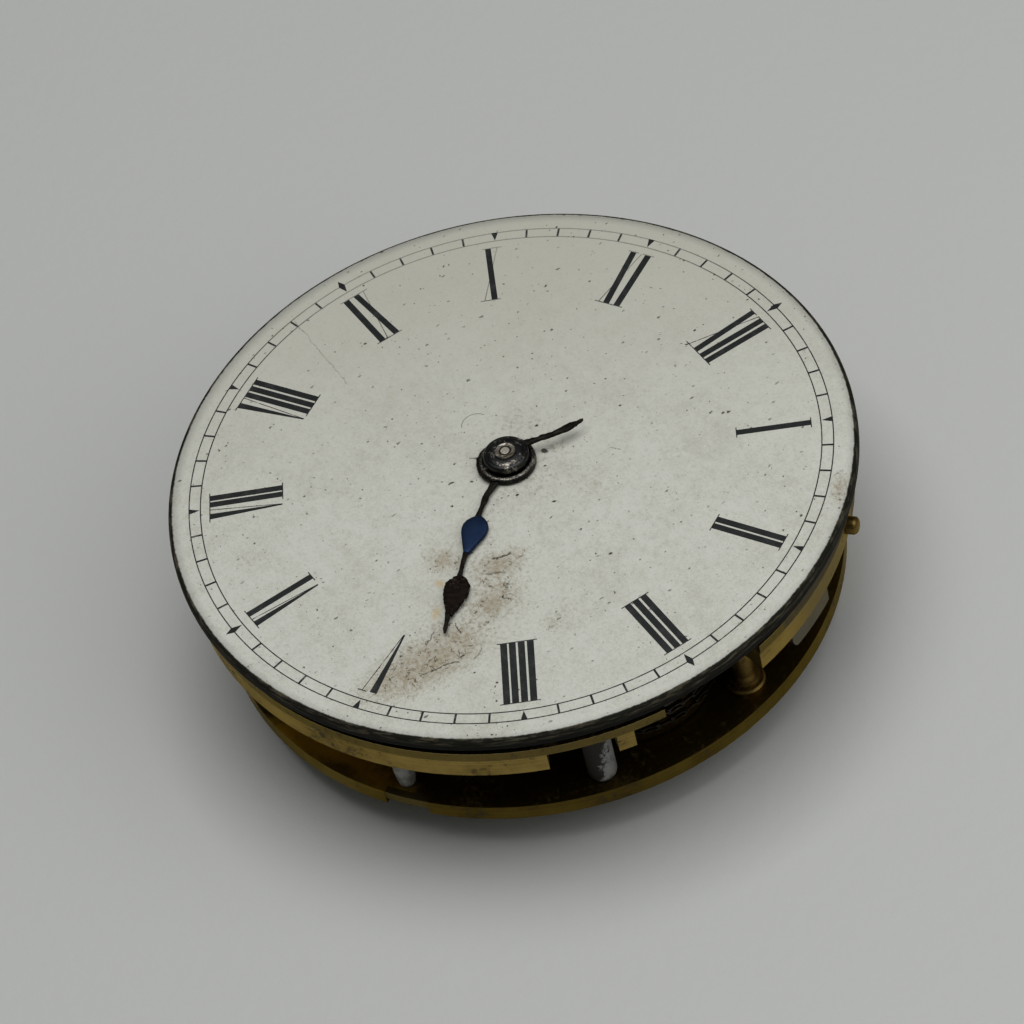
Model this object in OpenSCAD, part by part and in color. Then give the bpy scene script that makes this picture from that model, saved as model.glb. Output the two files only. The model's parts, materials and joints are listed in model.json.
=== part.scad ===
// Key-wound full-plate pocket watch movement, dial up, with fusee and rack lever escapement.
// +Z is up through the dial, XII lies on +Y and III on +X, sizes are millimetres.
// The origin is on the hand axis, level with the end of the balance cock.

/* [Dial and hands] */
// Diameter of the enamel dial
dial_d = 42; // [41.8:0.1:43]
// Thickness of the dial
dial_t = 0.95; // [0.8:0.05:1.2]
// Rise of the dial from its edge to its centre
dial_dome = 0.15; // [0.05:0.05:0.3]
// Gap between the dial and the pillar plate
dial_gap = 0.7; // [0.7:0.05:1]
// Diameter of a dial foot
foot_d = 1; // [0.8:0.1:1.3]
// Distance of the dial feet's axes from the dial's edge
foot_inset = 4.4; // [4.2:0.1:4.8]
// Diameter of the hour hand's boss
hour_boss_d = 3.5; // [3:0.1:4.2]
// Height of the hour hand's boss
hour_boss_h = 0.5; // [0.4:0.05:0.8]
// Length of the hour hand from the axis to its tip
hour_hand_l = 13.8; // [13:0.2:15]
// Width of the hour hand's two leaves
leaf_w = 1.6; // [1.2:0.1:2]
// Width of the hands' stems
stem_w = 0.4; // [0.3:0.05:0.6]
// Thickness of the hands' blades
blade_t = 0.22; // [0.15:0.01:0.35]
// Dial hour that the hour hand points to
hour_hand_at = 4.65; // [0:0.05:12]
// Diameter of the minute hand's boss
minute_boss_d = 2.66; // [2.3:0.02:3]
// Height of the minute hand's boss
minute_boss_h = 0.6; // [0.4:0.05:0.8]
// Length of the stub that is left of the minute hand
minute_stub_l = 5.1; // [3:0.1:8]
// Dial hour that the minute hand's stub points to
minute_hand_at = 0.2; // [0:0.05:12]
// Width of the setting square across its flats
set_square = 0.82; // [0.7:0.02:0.9]

/* [Frame] */
// Reach of the dial's edge past the pillar plate's edge
dial_overhang = 0.25; // [0.15:0.05:0.4]
// Thickness of the pillar plate's upper band
band_t = 0.72; // [0.6:0.02:0.9]
// Thickness of the pillar plate's rim below that band
rim_t = 1.43; // [1.3:0.01:1.7]
// Width of the seat that rests on the case's ledge
seat_w = 0.9; // [0.7:0.05:1]
// Height of the pillars between the plates' facing sides
pillar_h = 4.8; // [4.7:0.05:5.4]
// Diameter of a pillar at its waist
pillar_d = 1.8; // [1.4:0.1:2]
// Diameter of the slender pillar
slender_d = 1.3; // [1.1:0.1:1.6]
// Diameter of the turned pillars over their end flanges
turned_d = 2.5; // [2.2:0.1:2.5]
// Diameter of the turned pillars at their necks
turned_neck_d = 1.4; // [1.2:0.1:1.6]
// Distance of the top plate's edge inside the pillar plate's edge
top_inset = 1.25; // [1.1:0.05:1.35]
// Thickness of the top plate
top_t = 1.08; // [0.9:0.02:1.3]
// Diameter of the locating pin's head on the rim
rim_pin_d = 0.9; // [0.8:0.05:1.1]
// Length of the locating pin outside the rim
rim_pin_l = 0.95; // [0.7:0.05:1]

/* [Going train] */
// Teeth of the great wheel
great_n = 60; // [54:6:60]
// Leaves of the centre pinion
centre_n = 10; // [10:1:10]
// Module of the great wheel
great_m = 0.26; // [0.25:0.005:0.26]
// Teeth of the centre wheel
centre_wheel_n = 64; // [60:1:64]
// Leaves of the third pinion
third_n = 8; // [8:1:8]
// Module of the centre wheel
centre_m = 0.2; // [0.195:0.005:0.205]
// Teeth of the third wheel
third_wheel_n = 60; // [56:1:60]
// Leaves of the fourth pinion
fourth_n = 8; // [8:1:8]
// Module of the third wheel
third_m = 0.17; // [0.165:0.005:0.175]
// Teeth of the fourth wheel
fourth_wheel_n = 56; // [54:1:56]
// Leaves of the escape pinion
escape_n = 7; // [7:1:7]
// Module of the fourth wheel
fourth_m = 0.15; // [0.145:0.005:0.155]
// Thickness of the great wheel
great_t = 0.5; // [0.4:0.05:0.55]
// Thickness of the centre wheel
centre_t = 0.4; // [0.3:0.05:0.5]
// Thickness of the third and fourth wheels
wheel_t = 0.3; // [0.2:0.02:0.34]
// Radius of the train arbors
arbor_r = 0.42; // [0.4:0.02:0.46]
// Radius of the train pivots
pivot_r = 0.2; // [0.14:0.02:0.24]

/* [Fusee and barrel] */
// Radius of the fusee at its wide end
fusee_big_r = 6.2; // [5.8:0.1:6.4]
// Radius of the fusee at its narrow end
fusee_small_r = 3.6; // [3.2:0.1:4]
// Number of grooves on the fusee
groove_n = 4; // [3:1:4]
// Depth of the fusee's grooves
groove_depth = 0.4; // [0.3:0.05:0.5]
// Width of the winding square across its flats
wind_square = 1.2; // [1:0.05:1.3]
// Length of the winding square outside the top plate
wind_square_l = 2.1; // [1.5:0.1:2.6]
// Outer radius of the barrel
barrel_r = 5.75; // [5.6:0.05:5.8]
// Thickness of the barrel's wall
barrel_wall = 0.5; // [0.4:0.05:0.7]
// Distance of the barrel from the centre
barrel_at = 11.4; // [11.3:0.05:11.45]
// Height of the chain's links
chain_h = 0.44; // [0.35:0.01:0.46]
// Thickness of the chain across its links
chain_t = 0.32; // [0.25:0.01:0.4]
// Turns of the chain on the barrel
chain_turns = 3; // [2:1:3]
// Turns of the mainspring
mainspring_turns = 6; // [5:1:7]
// Thickness of the mainspring
mainspring_t = 0.2; // [0.15:0.01:0.24]
// Teeth of the ratchet on the barrel arbor
ratchet_n = 24; // [24:2:28]
// Radius of the ratchet
ratchet_r = 2.4; // [2.2:0.1:2.6]

/* [Escapement] */
// Radius of the escape wheel over its tooth tips
escape_r = 3.2; // [3.1:0.05:3.25]
// Thickness of the escape wheel
escape_t = 0.25; // [0.2:0.01:0.28]
// Width of a pallet stone
stone_w = 0.26; // [0.2:0.01:0.28]
// Gap between the pallets and the tooth tips with the lever in the middle
pallet_gap = 0.06; // [0.05:0.005:0.08]
// Leaves of the balance pinion
balance_n = 8; // [8:1:8]
// Teeth that a whole wheel of the rack's radius would have
rack_n = 64; // [64:1:64]
// Module of the rack
rack_m = 0.1875; // [0.185:0.0005:0.19]
// Teeth of the rack
rack_teeth = 7; // [7:2:9]
// Thickness of the rack
rack_t = 0.28; // [0.2:0.02:0.3]

/* [Balance] */
// Diameter of the balance
balance_d = 16.4; // [15.6:0.2:16.6]
// Width of the balance rim
balance_rim_w = 0.9; // [0.7:0.05:1.2]
// Height of the balance rim
balance_rim_h = 0.75; // [0.6:0.05:0.8]
// Width of the balance arms
balance_arm_w = 0.8; // [0.6:0.05:1.2]
// Radius of the balance staff
staff_r = 0.5; // [0.45:0.01:0.54]
// Space between the balance and the top plate
spring_space = 0.85; // [0.85:0.05:1.1]
// Space between the balance and the cock
cock_space = 0.35; // [0.3:0.05:0.5]
// Turns of the hairspring
hairspring_turns = 6; // [4:1:6]
// Outer radius of the hairspring
hairspring_r = 4.2; // [4.1:0.1:4.4]
// Thickness of the hairspring's wire
hairspring_t = 0.1; // [0.08:0.01:0.12]
// Radius of the cock's table
cock_table_r = 5.2; // [4.6:0.1:5.6]
// Thickness of the cock's table
cock_t = 1; // [0.9:0.05:1.3]
// Thickness of the cap on the cock's table
cap_t = 0.2; // [0.15:0.01:0.3]
// Length of the regulator's pointer from the balance axis
pointer_l = 9.9; // [9.6:0.1:10.4]

/* [Clearances] */
// Radial gap of a pivot or pipe in its bearing
run_gap = 0.03; // [0.02:0.005:0.05]
// Radial gap of a piece seated on its arbor or in its hole
seat_gap = 0.01; // [0.005:0.005:0.02]
// Gap between a shoulder or a wheel and the plate that it runs beside
shake = 0.06; // [0.04:0.01:0.08]

/* [Hidden] */
$fn = 64;
e = 0.02;

// Compass directions on the dial, in hours from XII
pillar_hours = [3.63, 4.9, 2.49, 8.3, 12];
foot_hours = [0.9, 4.4, 9];
fusee_hour = 6.1;
barrel_hour = 3.1;
third_hour = 9.39;
minute_hour = 7.5;
rim_pin_hour = 1.55;
// Directions between axes, counted from III against the hands
third_to_fourth = 145;
fourth_to_escape = 86.5;
escape_to_lever = 56;
lever_to_balance = -32;
pointer_dir = 200;
curb_dir = 295;
stud_dir = 350;

// Rim cut-outs, in dial hours: pillar pocket, small pocket, open window
pocket_hours = [3.53, 3.92];
small_pocket_hours = [3.2, 3.43];
window_hours = [2.6, 3.24];
notch_hours = [4.72, 5];
notch_depth = 0.5;

// Radii that follow the dial
dial_r = dial_d / 2;
plate_r = dial_r - dial_overhang;
top_r = plate_r - top_inset;
foot_at = dial_r - foot_inset;
pillar_insets = [2.75, 2.45, 3.25, 2.75, 2.75];
pillar_at = [for (d = pillar_insets) plate_r - d];
pocket_r = plate_r - 4.95;
window_r = plate_r - 3.55;

// Heights from the end of the cock up to the dial
z_cock0 = cap_t;
z_cock1 = z_cock0 + cock_t;
z_bal0 = z_cock1 + cock_space;
z_bal1 = z_bal0 + balance_rim_h;
z_top0 = z_bal1 + spring_space;
z_top1 = z_top0 + top_t;
z_in = z_top1 + pillar_h;
seat_step = 0.12;
z_seat = z_in - seat_step;
z_band = z_seat + rim_t;
z_plate1 = z_band + band_t;
z_pocket = z_band + 0.04;
z_dial0 = z_plate1 + dial_gap;
z_dial1 = z_dial0 + dial_t;

// Tooth shares of the pitch and heights in modules
wheel_share = 0.46;
leaf_share = 0.38;
wheel_add = 1;
wheel_ded = 0.9;
leaf_add = 0.5;
leaf_ded = 1.25;
leaf_tip = 0.4;

// Levels of the train between the plates
z_centre = z_band - 0.98;
z_great = z_in - 1.02;
z_third = z_in - 1.62;
z_fourth = z_in - 2.82;
z_rack = z_top1 + 1.27;
z_escape = z_top1 + 0.72;
pinion_h = 0.8;
z_potence = z_top1 + 2.02;
potence_t = 0.6;

// Motion work under the dial
motion_m = 1 / 6;
cannon_n = 12;
minute_n = 36;
hour_m = 0.16;
minute_pinion_n = 10;
hour_n = 40;
motion_t = 0.28;
z_minute = z_plate1 + shake;
z_hour = z_minute + motion_t + shake;
cannon_pipe_r = 0.85;
hour_pipe_wall = 0.25;
hour_pipe_r = cannon_pipe_r + run_gap + hour_pipe_wall;
dial_hole_r = hour_pipe_r + 0.17;
set_seat_r = set_square / sqrt(2) + seat_gap;
hand_air = 0.05;
z_hour_boss = z_dial1 + dial_dome + hand_air;
z_minute_boss = z_hour_boss + hour_boss_h + hand_air;
z_minute_top = z_minute_boss + minute_boss_h;
square_rise = 0.1;

function at(h, d) = [d * sin(30 * h), d * cos(30 * h)];
function along(a, d) = [d * cos(a), d * sin(a)];
function turn(v, a) = [v[0] * cos(a) - v[1] * sin(a), v[0] * sin(a) + v[1] * cos(a)];
function aim(from, to) = atan2(to[1] - from[1], to[0] - from[0]);

// Axes of the wheels
fusee_pos = at(fusee_hour, (great_n + centre_n) * great_m / 2);
barrel_pos = at(barrel_hour, barrel_at);
third_pos = at(third_hour, (centre_wheel_n + third_n) * centre_m / 2);
fourth_pos = third_pos + along(third_to_fourth, (third_wheel_n + fourth_n) * third_m / 2);
escape_pos = fourth_pos + along(fourth_to_escape, (fourth_wheel_n + escape_n) * fourth_m / 2);
pallet_half = 30;
pallet_reach = escape_r / cos(pallet_half);
lever_pos = escape_pos + along(escape_to_lever, pallet_reach);
balance_pos = lever_pos + along(lever_to_balance, (rack_n + balance_n) * rack_m / 2);
motion_reach = (cannon_n + minute_n) * motion_m / 2;
minute_pos = at(minute_hour, motion_reach);

// Outline of a wheel: radial flanks and epicycloid tips that suit a pinion of mate leaves
function epicycloid(r, p, t) = [(r + p) * cos(t) - p * cos((r + p) / p * t),
                                (r + p) * sin(t) - p * sin((r + p) / p * t)];
function tip_turn(r, p, tip) = acos((pow(r + p, 2) + p * p - tip * tip) / (2 * p * (r + p))) * p / r;
function tooth(n, m, mate) =
    let (r = n * m / 2, p = mate * m / 4, a = wheel_share * 180 / n,
         t = tip_turn(r, p, r + wheel_add * m),
         half = [[r - wheel_ded * m, 0], [r, 0], epicycloid(r, p, t / 2), epicycloid(r, p, t)])
    concat([for (q = half) turn(q, -a)],
           [for (i = [3:-1:0]) turn([half[i][0], -half[i][1]], a)]);
function wheel_outline(n, m, mate, phase) =
    [for (k = [0:n - 1], q = tooth(n, m, mate)) turn(q, phase + 360 * k / n)];
// Outline of a pinion: radial leaves with blunt tips
function leaf(n, m) =
    let (r = n * m / 2, b = leaf_share * 180 / n)
    [along(-b, r - leaf_ded * m), along(-b, r), along(-leaf_tip * b, r + leaf_add * m),
     along(leaf_tip * b, r + leaf_add * m), along(b, r), along(b, r - leaf_ded * m)];
function pinion_outline(n, m, phase) =
    [for (k = [0:n - 1], q = leaf(n, m)) turn(q, phase + 360 * k / n)];

module place(p, z = 0) { translate([p[0], p[1], z]) children(); }
module disc(r, z0, z1) { translate([0, 0, z0]) cylinder(r = r, h = z1 - z0); }
// Turned arbor: a list of [radius, lower end, upper end]
module turned(steps) { for (s = steps) disc(s[0], s[1], s[2]); }
// Ring sector between two dial hours
module sector(hours, r0, r1, z0, z1) {
    rotate([0, 0, 90 - 30 * hours[1]])
        rotate_extrude(angle = 30 * (hours[1] - hours[0]), $fn = 128)
            translate([r0, z0]) square([r1 - r0, z1 - z0]);
}
// Cheese-head screw that points up, with its slotted head's outer face at z0
module screw(head_r, head_h, shank_r, z0, length) {
    difference() {
        union() {
            disc(head_r, z0, z0 + head_h);
            disc(shank_r, z0 + head_h - e, z0 + head_h + length);
        }
        translate([-head_r * 2, -head_r * 0.14, z0 - e]) cube([head_r * 4, head_r * 0.28, head_h * 0.45]);
    }
}
// Spoked wheel blank cut from an outline
module spoked(outline, t, bore, hub_r, rim_r, arms, arm_w) {
    difference() {
        linear_extrude(t) polygon(outline);
        translate([0, 0, -e]) cylinder(r = bore, h = t + 2 * e);
        for (i = [0:arms - 1]) rotate([0, 0, i * 360 / arms])
            translate([0, 0, -e]) linear_extrude(t + 2 * e) crossing(hub_r, rim_r, 360 / arms, arm_w);
    }
}
// One opening between two arms
module crossing(r0, r1, span, arm_w) {
    a0 = asin(arm_w / 2 / r0);
    a1 = asin(arm_w / 2 / r1);
    steps = 6;
    polygon(concat([for (i = [0:steps]) along(a1 + (span - 2 * a1) * i / steps, r1)],
                   [for (i = [steps:-1:0]) along(a0 + (span - 2 * a0) * i / steps, r0)]));
}

// Dial
dial_round = 0.12;
function dome(r) = dial_dome * (1 - pow(r / dial_r, 2));
dome_steps = 8;
dome_radii = [for (i = [0:dome_steps]) dial_hole_r + (dial_r - dial_round - dial_hole_r) * i / dome_steps];
module dial() {
    color("ivory") rotate_extrude($fn = 128) polygon(concat(
        [for (r = dome_radii) [r, z_dial1 + dome(r)]],
        [[dial_r, z_dial1 - dial_round], [dial_r, z_dial0 + dial_round]],
        [for (i = [dome_steps:-1:0]) [dome_radii[i], z_dial0 + dome(dome_radii[i])]]));
}
foot_pin_r = 0.16;
z_foot0 = z_in - 0.75;
z_foot_pin = z_in - foot_pin_r - 0.05;
module dial_feet() {
    color("peru") for (h = foot_hours) place(at(h, foot_at)) difference() {
        disc(foot_d / 2, z_foot0, z_dial0 + dome(foot_at + foot_d / 2));
        rotate([0, 0, -30 * h]) translate([-foot_d, 0, z_foot_pin]) rotate([0, 90, 0])
            cylinder(r = foot_pin_r + seat_gap, h = 2 * foot_d);
    }
}
module dial_pins() {
    color("goldenrod") for (h = foot_hours) place(at(h, foot_at), z_foot_pin)
        rotate([0, 0, -30 * h]) translate([-1.1, 0, 0]) rotate([0, 90, 0]) cylinder(r = foot_pin_r, h = 2.2);
}

// Hands, drawn along +Y and turned to their hours
function leaf_side(y0, l, w, s) = [for (i = [0:8])
    let (u = i / 8) [s * w / 2 * sin(180 * pow(u, 0.8)), y0 + l * u]];
leaf1 = [5, 3];
leaf2 = [9.7, 2.6];
module blade(points) { linear_extrude(blade_t) polygon(points); }
module hour_hand() {
    tip_w = stem_w * 0.7;
    color("midnightblue") rotate([0, 0, -30 * hour_hand_at]) {
        difference() {
            union() {
                disc(hour_boss_d / 2, z_hour_boss, z_hour_boss + hour_boss_h);
                translate([0, 0, z_hour_boss + (hour_boss_h - blade_t) / 2]) {
                    blade([[-stem_w / 2, hour_boss_d / 4], [stem_w / 2, hour_boss_d / 4],
                           [stem_w / 2, leaf2[0] + 0.3], [tip_w / 2, hour_hand_l - tip_w],
                           [0, hour_hand_l], [-tip_w / 2, hour_hand_l - tip_w],
                           [-stem_w / 2, leaf2[0] + 0.3]]);
                    for (f = [leaf1, leaf2])
                        blade(concat(leaf_side(f[0], f[1], leaf_w, 1),
                                     [for (i = [7:-1:1]) leaf_side(f[0], f[1], leaf_w, -1)[i]]));
                }
            }
            disc(hour_pipe_r + seat_gap, z_hour_boss - e, z_hour_boss + hour_boss_h + e);
        }
    }
}
module minute_hand() {
    end_w = stem_w * 1.5;
    color("saddlebrown") rotate([0, 0, -30 * minute_hand_at]) difference() {
        union() {
            disc(minute_boss_d / 2, z_minute_boss, z_minute_top);
            translate([0, 0, z_minute_boss + (minute_boss_h - blade_t) / 2])
                blade([[-stem_w / 2, minute_boss_d / 4], [stem_w / 2, minute_boss_d / 4],
                       [stem_w / 2, minute_stub_l * 0.5], [end_w / 2, minute_stub_l * 0.8],
                       [end_w * 0.2, minute_stub_l], [-end_w * 0.1, minute_stub_l - 0.25],
                       [-end_w / 2, minute_stub_l * 0.85], [-stem_w / 2, minute_stub_l * 0.55]]);
        }
        disc(cannon_pipe_r + seat_gap, z_minute_boss - e, z_minute_top + e);
    }
}

// Motion work
module cannon_pinion() {
    color("slategray") difference() {
        union() {
            translate([0, 0, z_minute]) linear_extrude(motion_t)
                polygon(pinion_outline(cannon_n, motion_m, aim([0, 0], minute_pos) + 180 / cannon_n));
            disc(cannon_pipe_r, z_minute + motion_t - e, z_minute_top);
        }
        disc(set_seat_r + seat_gap, z_minute - e, z_minute_top + e);
    }
}
minute_stud_r = 0.38;
module minute_wheel() {
    bore = minute_stud_r + run_gap;
    toward = aim(minute_pos, [0, 0]);
    color("goldenrod") place(minute_pos) {
        difference() {
            union() {
                translate([0, 0, z_minute]) linear_extrude(motion_t)
                    polygon(wheel_outline(minute_n, motion_m, cannon_n, toward));
                translate([0, 0, z_minute + motion_t - e]) linear_extrude(motion_t + shake + e)
                    polygon(pinion_outline(minute_pinion_n, hour_m, toward + 180 / minute_pinion_n));
            }
            disc(bore, z_minute - e, z_hour + motion_t + e);
        }
    }
}
module minute_stud() {
    color("slategray") place(minute_pos) turned([[minute_stud_r, z_band, z_hour + motion_t]]);
}
module hour_wheel() {
    z1 = z_hour_boss + hour_boss_h;
    color("goldenrod") difference() {
        union() {
            translate([0, 0, z_hour]) linear_extrude(motion_t)
                polygon(wheel_outline(hour_n, hour_m, minute_pinion_n, aim([0, 0], minute_pos)));
            disc(hour_pipe_r, z_hour + motion_t - e, z1);
        }
        disc(cannon_pipe_r + run_gap, z_hour - e, z1 + e);
    }
}

// Pillar plate
rim_step = 0.1;
rim_r = plate_r - rim_step;
seat_r = rim_r - seat_w;
wheel_room = 0.35;
centre_tip = centre_wheel_n * centre_m / 2 + wheel_add * centre_m;
third_tip = third_n * centre_m / 2 + leaf_add * centre_m;
centre_journal_r = 0.62;
barrel_journal_r = 0.8;
fusee_pivot_r = 0.5;
click_screw_r = 0.3;
tenon_r = 0.42;
z_rim_pin = z_seat + 0.72;
rim_tenon_r = rim_pin_d / 2 * 0.8;
rim_tenon_l = 1.6;
module through(p, r) { place(p) disc(r, z_seat - 1, z_plate1 + 1); }
module pillar_plate() {
    color("darkgoldenrod") difference() {
        rotate_extrude($fn = 128) polygon([[0, z_in], [seat_r, z_in], [seat_r, z_seat], [rim_r, z_seat],
            [rim_r, z_band], [plate_r, z_band], [plate_r, z_plate1], [0, z_plate1]]);
        disc(centre_tip + wheel_room, z_in - 1, z_band);
        place(third_pos) disc(third_tip + wheel_room, z_in - 1, z_band);
        for (h = [pocket_hours, small_pocket_hours]) sector(h, pocket_r, plate_r + 1, z_seat - 1, z_pocket);
        sector(window_hours, window_r, plate_r + 1, z_seat - 1, z_plate1 + 1);
        through([0, 0], centre_journal_r + run_gap);
        for (p = [third_pos, fourth_pos, escape_pos, lever_pos]) through(p, pivot_r + run_gap);
        through(fusee_pos, fusee_pivot_r + run_gap);
        through(barrel_pos, barrel_journal_r + seat_gap);
        through(minute_pos, minute_stud_r + seat_gap);
        through(click_pos, click_screw_r + seat_gap);
        for (h = foot_hours) through(at(h, foot_at), foot_d / 2 + seat_gap);
        for (i = [0:len(pillar_hours) - 1]) through(at(pillar_hours[i], pillar_at[i]), tenon_r + seat_gap);
        rotate([0, 0, 90 - 30 * rim_pin_hour]) translate([rim_r - rim_tenon_l, 0, z_rim_pin])
            rotate([0, 90, 0]) cylinder(r = rim_tenon_r + seat_gap, h = rim_tenon_l + 1);
    }
}
module rim_pin() {
    color("goldenrod") rotate([0, 0, 90 - 30 * rim_pin_hour])
        translate([0, 0, z_rim_pin]) rotate([0, 90, 0]) {
            disc(rim_tenon_r, rim_r - rim_tenon_l, rim_r + 2 * e);
            disc(rim_pin_d / 2, rim_r + e, rim_r + rim_pin_l);
        }
}

// Pillars, riveted above and pinned below: two plain ones with tapered feet, then three turned ones
tenon_out = 0.8;
pin_r = 0.17;
z_pillar_pin = z_top0 - pin_r - 0.04;
function in_pocket(h) = h > pocket_hours[0] && h < pocket_hours[1];
module stand(i) {
    place(at(pillar_hours[i], pillar_at[i])) rotate([0, 0, -30 * pillar_hours[i]]) children();
}
module pillar(profile, z1) {
    difference() {
        union() {
            rotate_extrude() polygon(profile);
            disc(tenon_r, z_top0 - tenon_out, z_top1 + e);
            disc(tenon_r, z1 - e, z_plate1);
        }
        translate([-1, 0, z_pillar_pin]) rotate([0, 90, 0]) cylinder(r = pin_r + seat_gap, h = 2);
    }
}
module pillars() {
    color("silver") for (i = [0, 1]) {
        r = i == 1 ? slender_d / 2 : pillar_d / 2;
        taper = i == 1 ? 1.3 : 0.35;
        foot = i == 1 ? r - 0.14 : r - 0.16;
        z1 = in_pocket(pillar_hours[i]) ? z_pocket : z_in;
        stand(i) pillar([[0, z_top1], [foot, z_top1], [(foot + 2 * r) / 3, z_top1 + taper / 2],
                         [r, z_top1 + taper], [r, z1], [0, z1]], z1);
    }
}
module turned_pillars() {
    big = turned_d / 2;
    neck = turned_neck_d / 2;
    bead = (big + neck) / 2;
    half = [[big, 0], [big, 0.28], [big - 0.12, 0.4], [bead, 0.44], [bead, 0.64], [neck + 0.06, 0.74],
            [neck, 1.1]];
    color("goldenrod") for (i = [2:4]) stand(i) pillar(concat([[0, z_top1]],
        [for (q = half) [q[0], z_top1 + q[1]]], [for (k = [6:-1:0]) [half[k][0], z_in - half[k][1]]],
        [[0, z_in]]), z_in);
}
module pillar_pins() {
    color("goldenrod") for (i = [0:len(pillar_hours) - 1])
        place(at(pillar_hours[i], pillar_at[i]), z_pillar_pin) rotate([0, 0, -30 * pillar_hours[i]])
            translate([-1, 0, 0]) rotate([0, 90, 0]) cylinder(r = pin_r, h = 2);
}

// Top plate
centre_pivot_r = 0.35;
fusee_journal_r = wind_square / sqrt(2) + 2 * seat_gap;
boss_r = 1.9;
boss_h = 0.3;
balance_n_tip = balance_n * rack_m / 2 + leaf_add * rack_m;
staff_hole_r = balance_n_tip + 0.2;
bar_hole_r = 1.6;
module drill(p, r) { place(p) disc(r, z_top0 - 1, z_top1 + 1); }
module top_plate() {
    color("darkgoldenrod") difference() {
        union() {
            disc(top_r, z_top0, z_top1, $fn = 128);
            place(balance_pos) disc(boss_r, z_top0 - boss_h, z_top0 + e);
        }
        sector(notch_hours, top_r - notch_depth, top_r + 1, z_top0 - 1, z_top1 + 1);
        drill([0, 0], centre_pivot_r + run_gap);
        for (p = [third_pos, fourth_pos, escape_pos, lever_pos]) drill(p, pivot_r + run_gap);
        drill(fusee_pos, fusee_journal_r + run_gap);
        drill(barrel_pos, bar_hole_r);
        drill(balance_pos, staff_hole_r);
        drill(potence_pos, potence_screw_r + seat_gap);
        place(potence_pos) disc(potence_head_r + seat_gap, z_top0 - 1, z_top0 + potence_head_h);
        drill(cock_screw_pos, cock_screw_r + seat_gap);
        for (p = cock_pin_pos) drill(p, cock_pin_r + seat_gap);
        for (s = [-1, 1]) drill(bar_screw_pos(s), bar_screw_r + seat_gap);
        drill(hair_stud_pos, hair_stud_pin_r + seat_gap);
        drill(stop_pos, stop_tenon_r + seat_gap);
        for (i = [0:len(pillar_hours) - 1]) drill(at(pillar_hours[i], pillar_at[i]), tenon_r + seat_gap);
    }
}

// Centre arbor with its pinion and setting square
centre_body_r = 0.75;
centre_seat_r = 0.9;
collet_h = 0.16;
module centre_arbor() {
    color("lightslategray") {
        turned([[centre_pivot_r, z_top0 + 0.1, z_top1 + shake + e],
                [centre_body_r, z_top1 + shake, z_band - shake],
                [centre_seat_r, z_centre - e, z_centre + centre_t],
                [centre_seat_r + 0.45, z_centre - collet_h, z_centre],
                [centre_journal_r, z_band - shake - e, z_minute],
                [set_seat_r, z_minute - e, z_minute_top]]);
        translate([0, 0, z_great + great_t / 2 - pinion_h / 2]) linear_extrude(pinion_h)
            polygon(pinion_outline(centre_n, great_m, aim([0, 0], fusee_pos) + 180 / centre_n));
        rotate([0, 0, -30 * minute_hand_at]) translate([-set_square / 2, -set_square / 2, z_minute_top - e])
            cube([set_square, set_square, square_rise + e]);
    }
}
module centre_wheel() {
    color("goldenrod") translate([0, 0, z_centre])
        spoked(wheel_outline(centre_wheel_n, centre_m, third_n, aim([0, 0], third_pos)), centre_t,
               centre_seat_r + seat_gap, 1.7, centre_tip - 1.3, 4, 0.6);
}

// Fusee with great wheel, stop beak and winding square
fusee_body_r = 0.9;
z_fusee1 = z_great;
beak_t = 0.3;
z_beak = z_top1 + 0.13;
z_fusee0 = z_beak + beak_t;
groove_pitch = (z_fusee1 - z_fusee0) / (groove_n + 0.4);
groove_w = groove_pitch * 0.72;
fusee_taper = (fusee_big_r / fusee_small_r - 1) / (z_fusee1 - z_fusee0);
function fusee_r(z) = fusee_big_r / (1 + fusee_taper * (z_fusee1 - z));
function groove_z(i) = z_fusee1 - groove_pitch * (i + 0.7);
module great_wheel() {
    color("goldenrod") place(fusee_pos, z_great)
        spoked(wheel_outline(great_n, great_m, centre_n, aim(fusee_pos, [0, 0])), great_t,
               fusee_body_r + seat_gap, 2.4, great_n * great_m / 2 - 1.2, 4, 0.9);
}
module fusee_cone() {
    color("darkkhaki") place(fusee_pos) rotate_extrude($fn = 128) polygon(concat(
        [[fusee_body_r + seat_gap, z_fusee0], [fusee_body_r + seat_gap, z_fusee1], [fusee_big_r, z_fusee1]],
        [for (i = [0:groove_n - 1], q = [[0, 0.5], [1, 0.5], [1, -0.5], [0, -0.5]])
            let (z = groove_z(i) + q[1] * groove_w) [fusee_r(z) - q[0] * groove_depth, z]],
        [[fusee_small_r, z_fusee0]]));
}
beak_r = 4.9;
module fusee_beak() {
    color("slategray") place(fusee_pos, z_beak) rotate([0, 0, 180]) difference() {
        linear_extrude(beak_t) union() {
            circle(r = fusee_small_r - 0.6);
            polygon([[0, -1.2], [beak_r, -0.3], [beak_r, 0.5], [0, fusee_small_r - 0.8]]);
        }
        translate([0, 0, -e]) cylinder(r = fusee_body_r + seat_gap, h = beak_t + 2 * e);
    }
}
module fusee_arbor() {
    color("lightslategray") place(fusee_pos) {
        turned([[fusee_pivot_r, z_in - shake - e, z_plate1 - 0.2],
                [fusee_body_r, z_top1 + shake, z_in - shake],
                [fusee_body_r + 0.6, z_great + great_t, z_great + great_t + collet_h],
                [fusee_journal_r, z_top0 - shake, z_top1 + shake + e]]);
        translate([-wind_square / 2, -wind_square / 2, z_top0 - wind_square_l])
            cube([wind_square, wind_square, wind_square_l]);
    }
}

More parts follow.
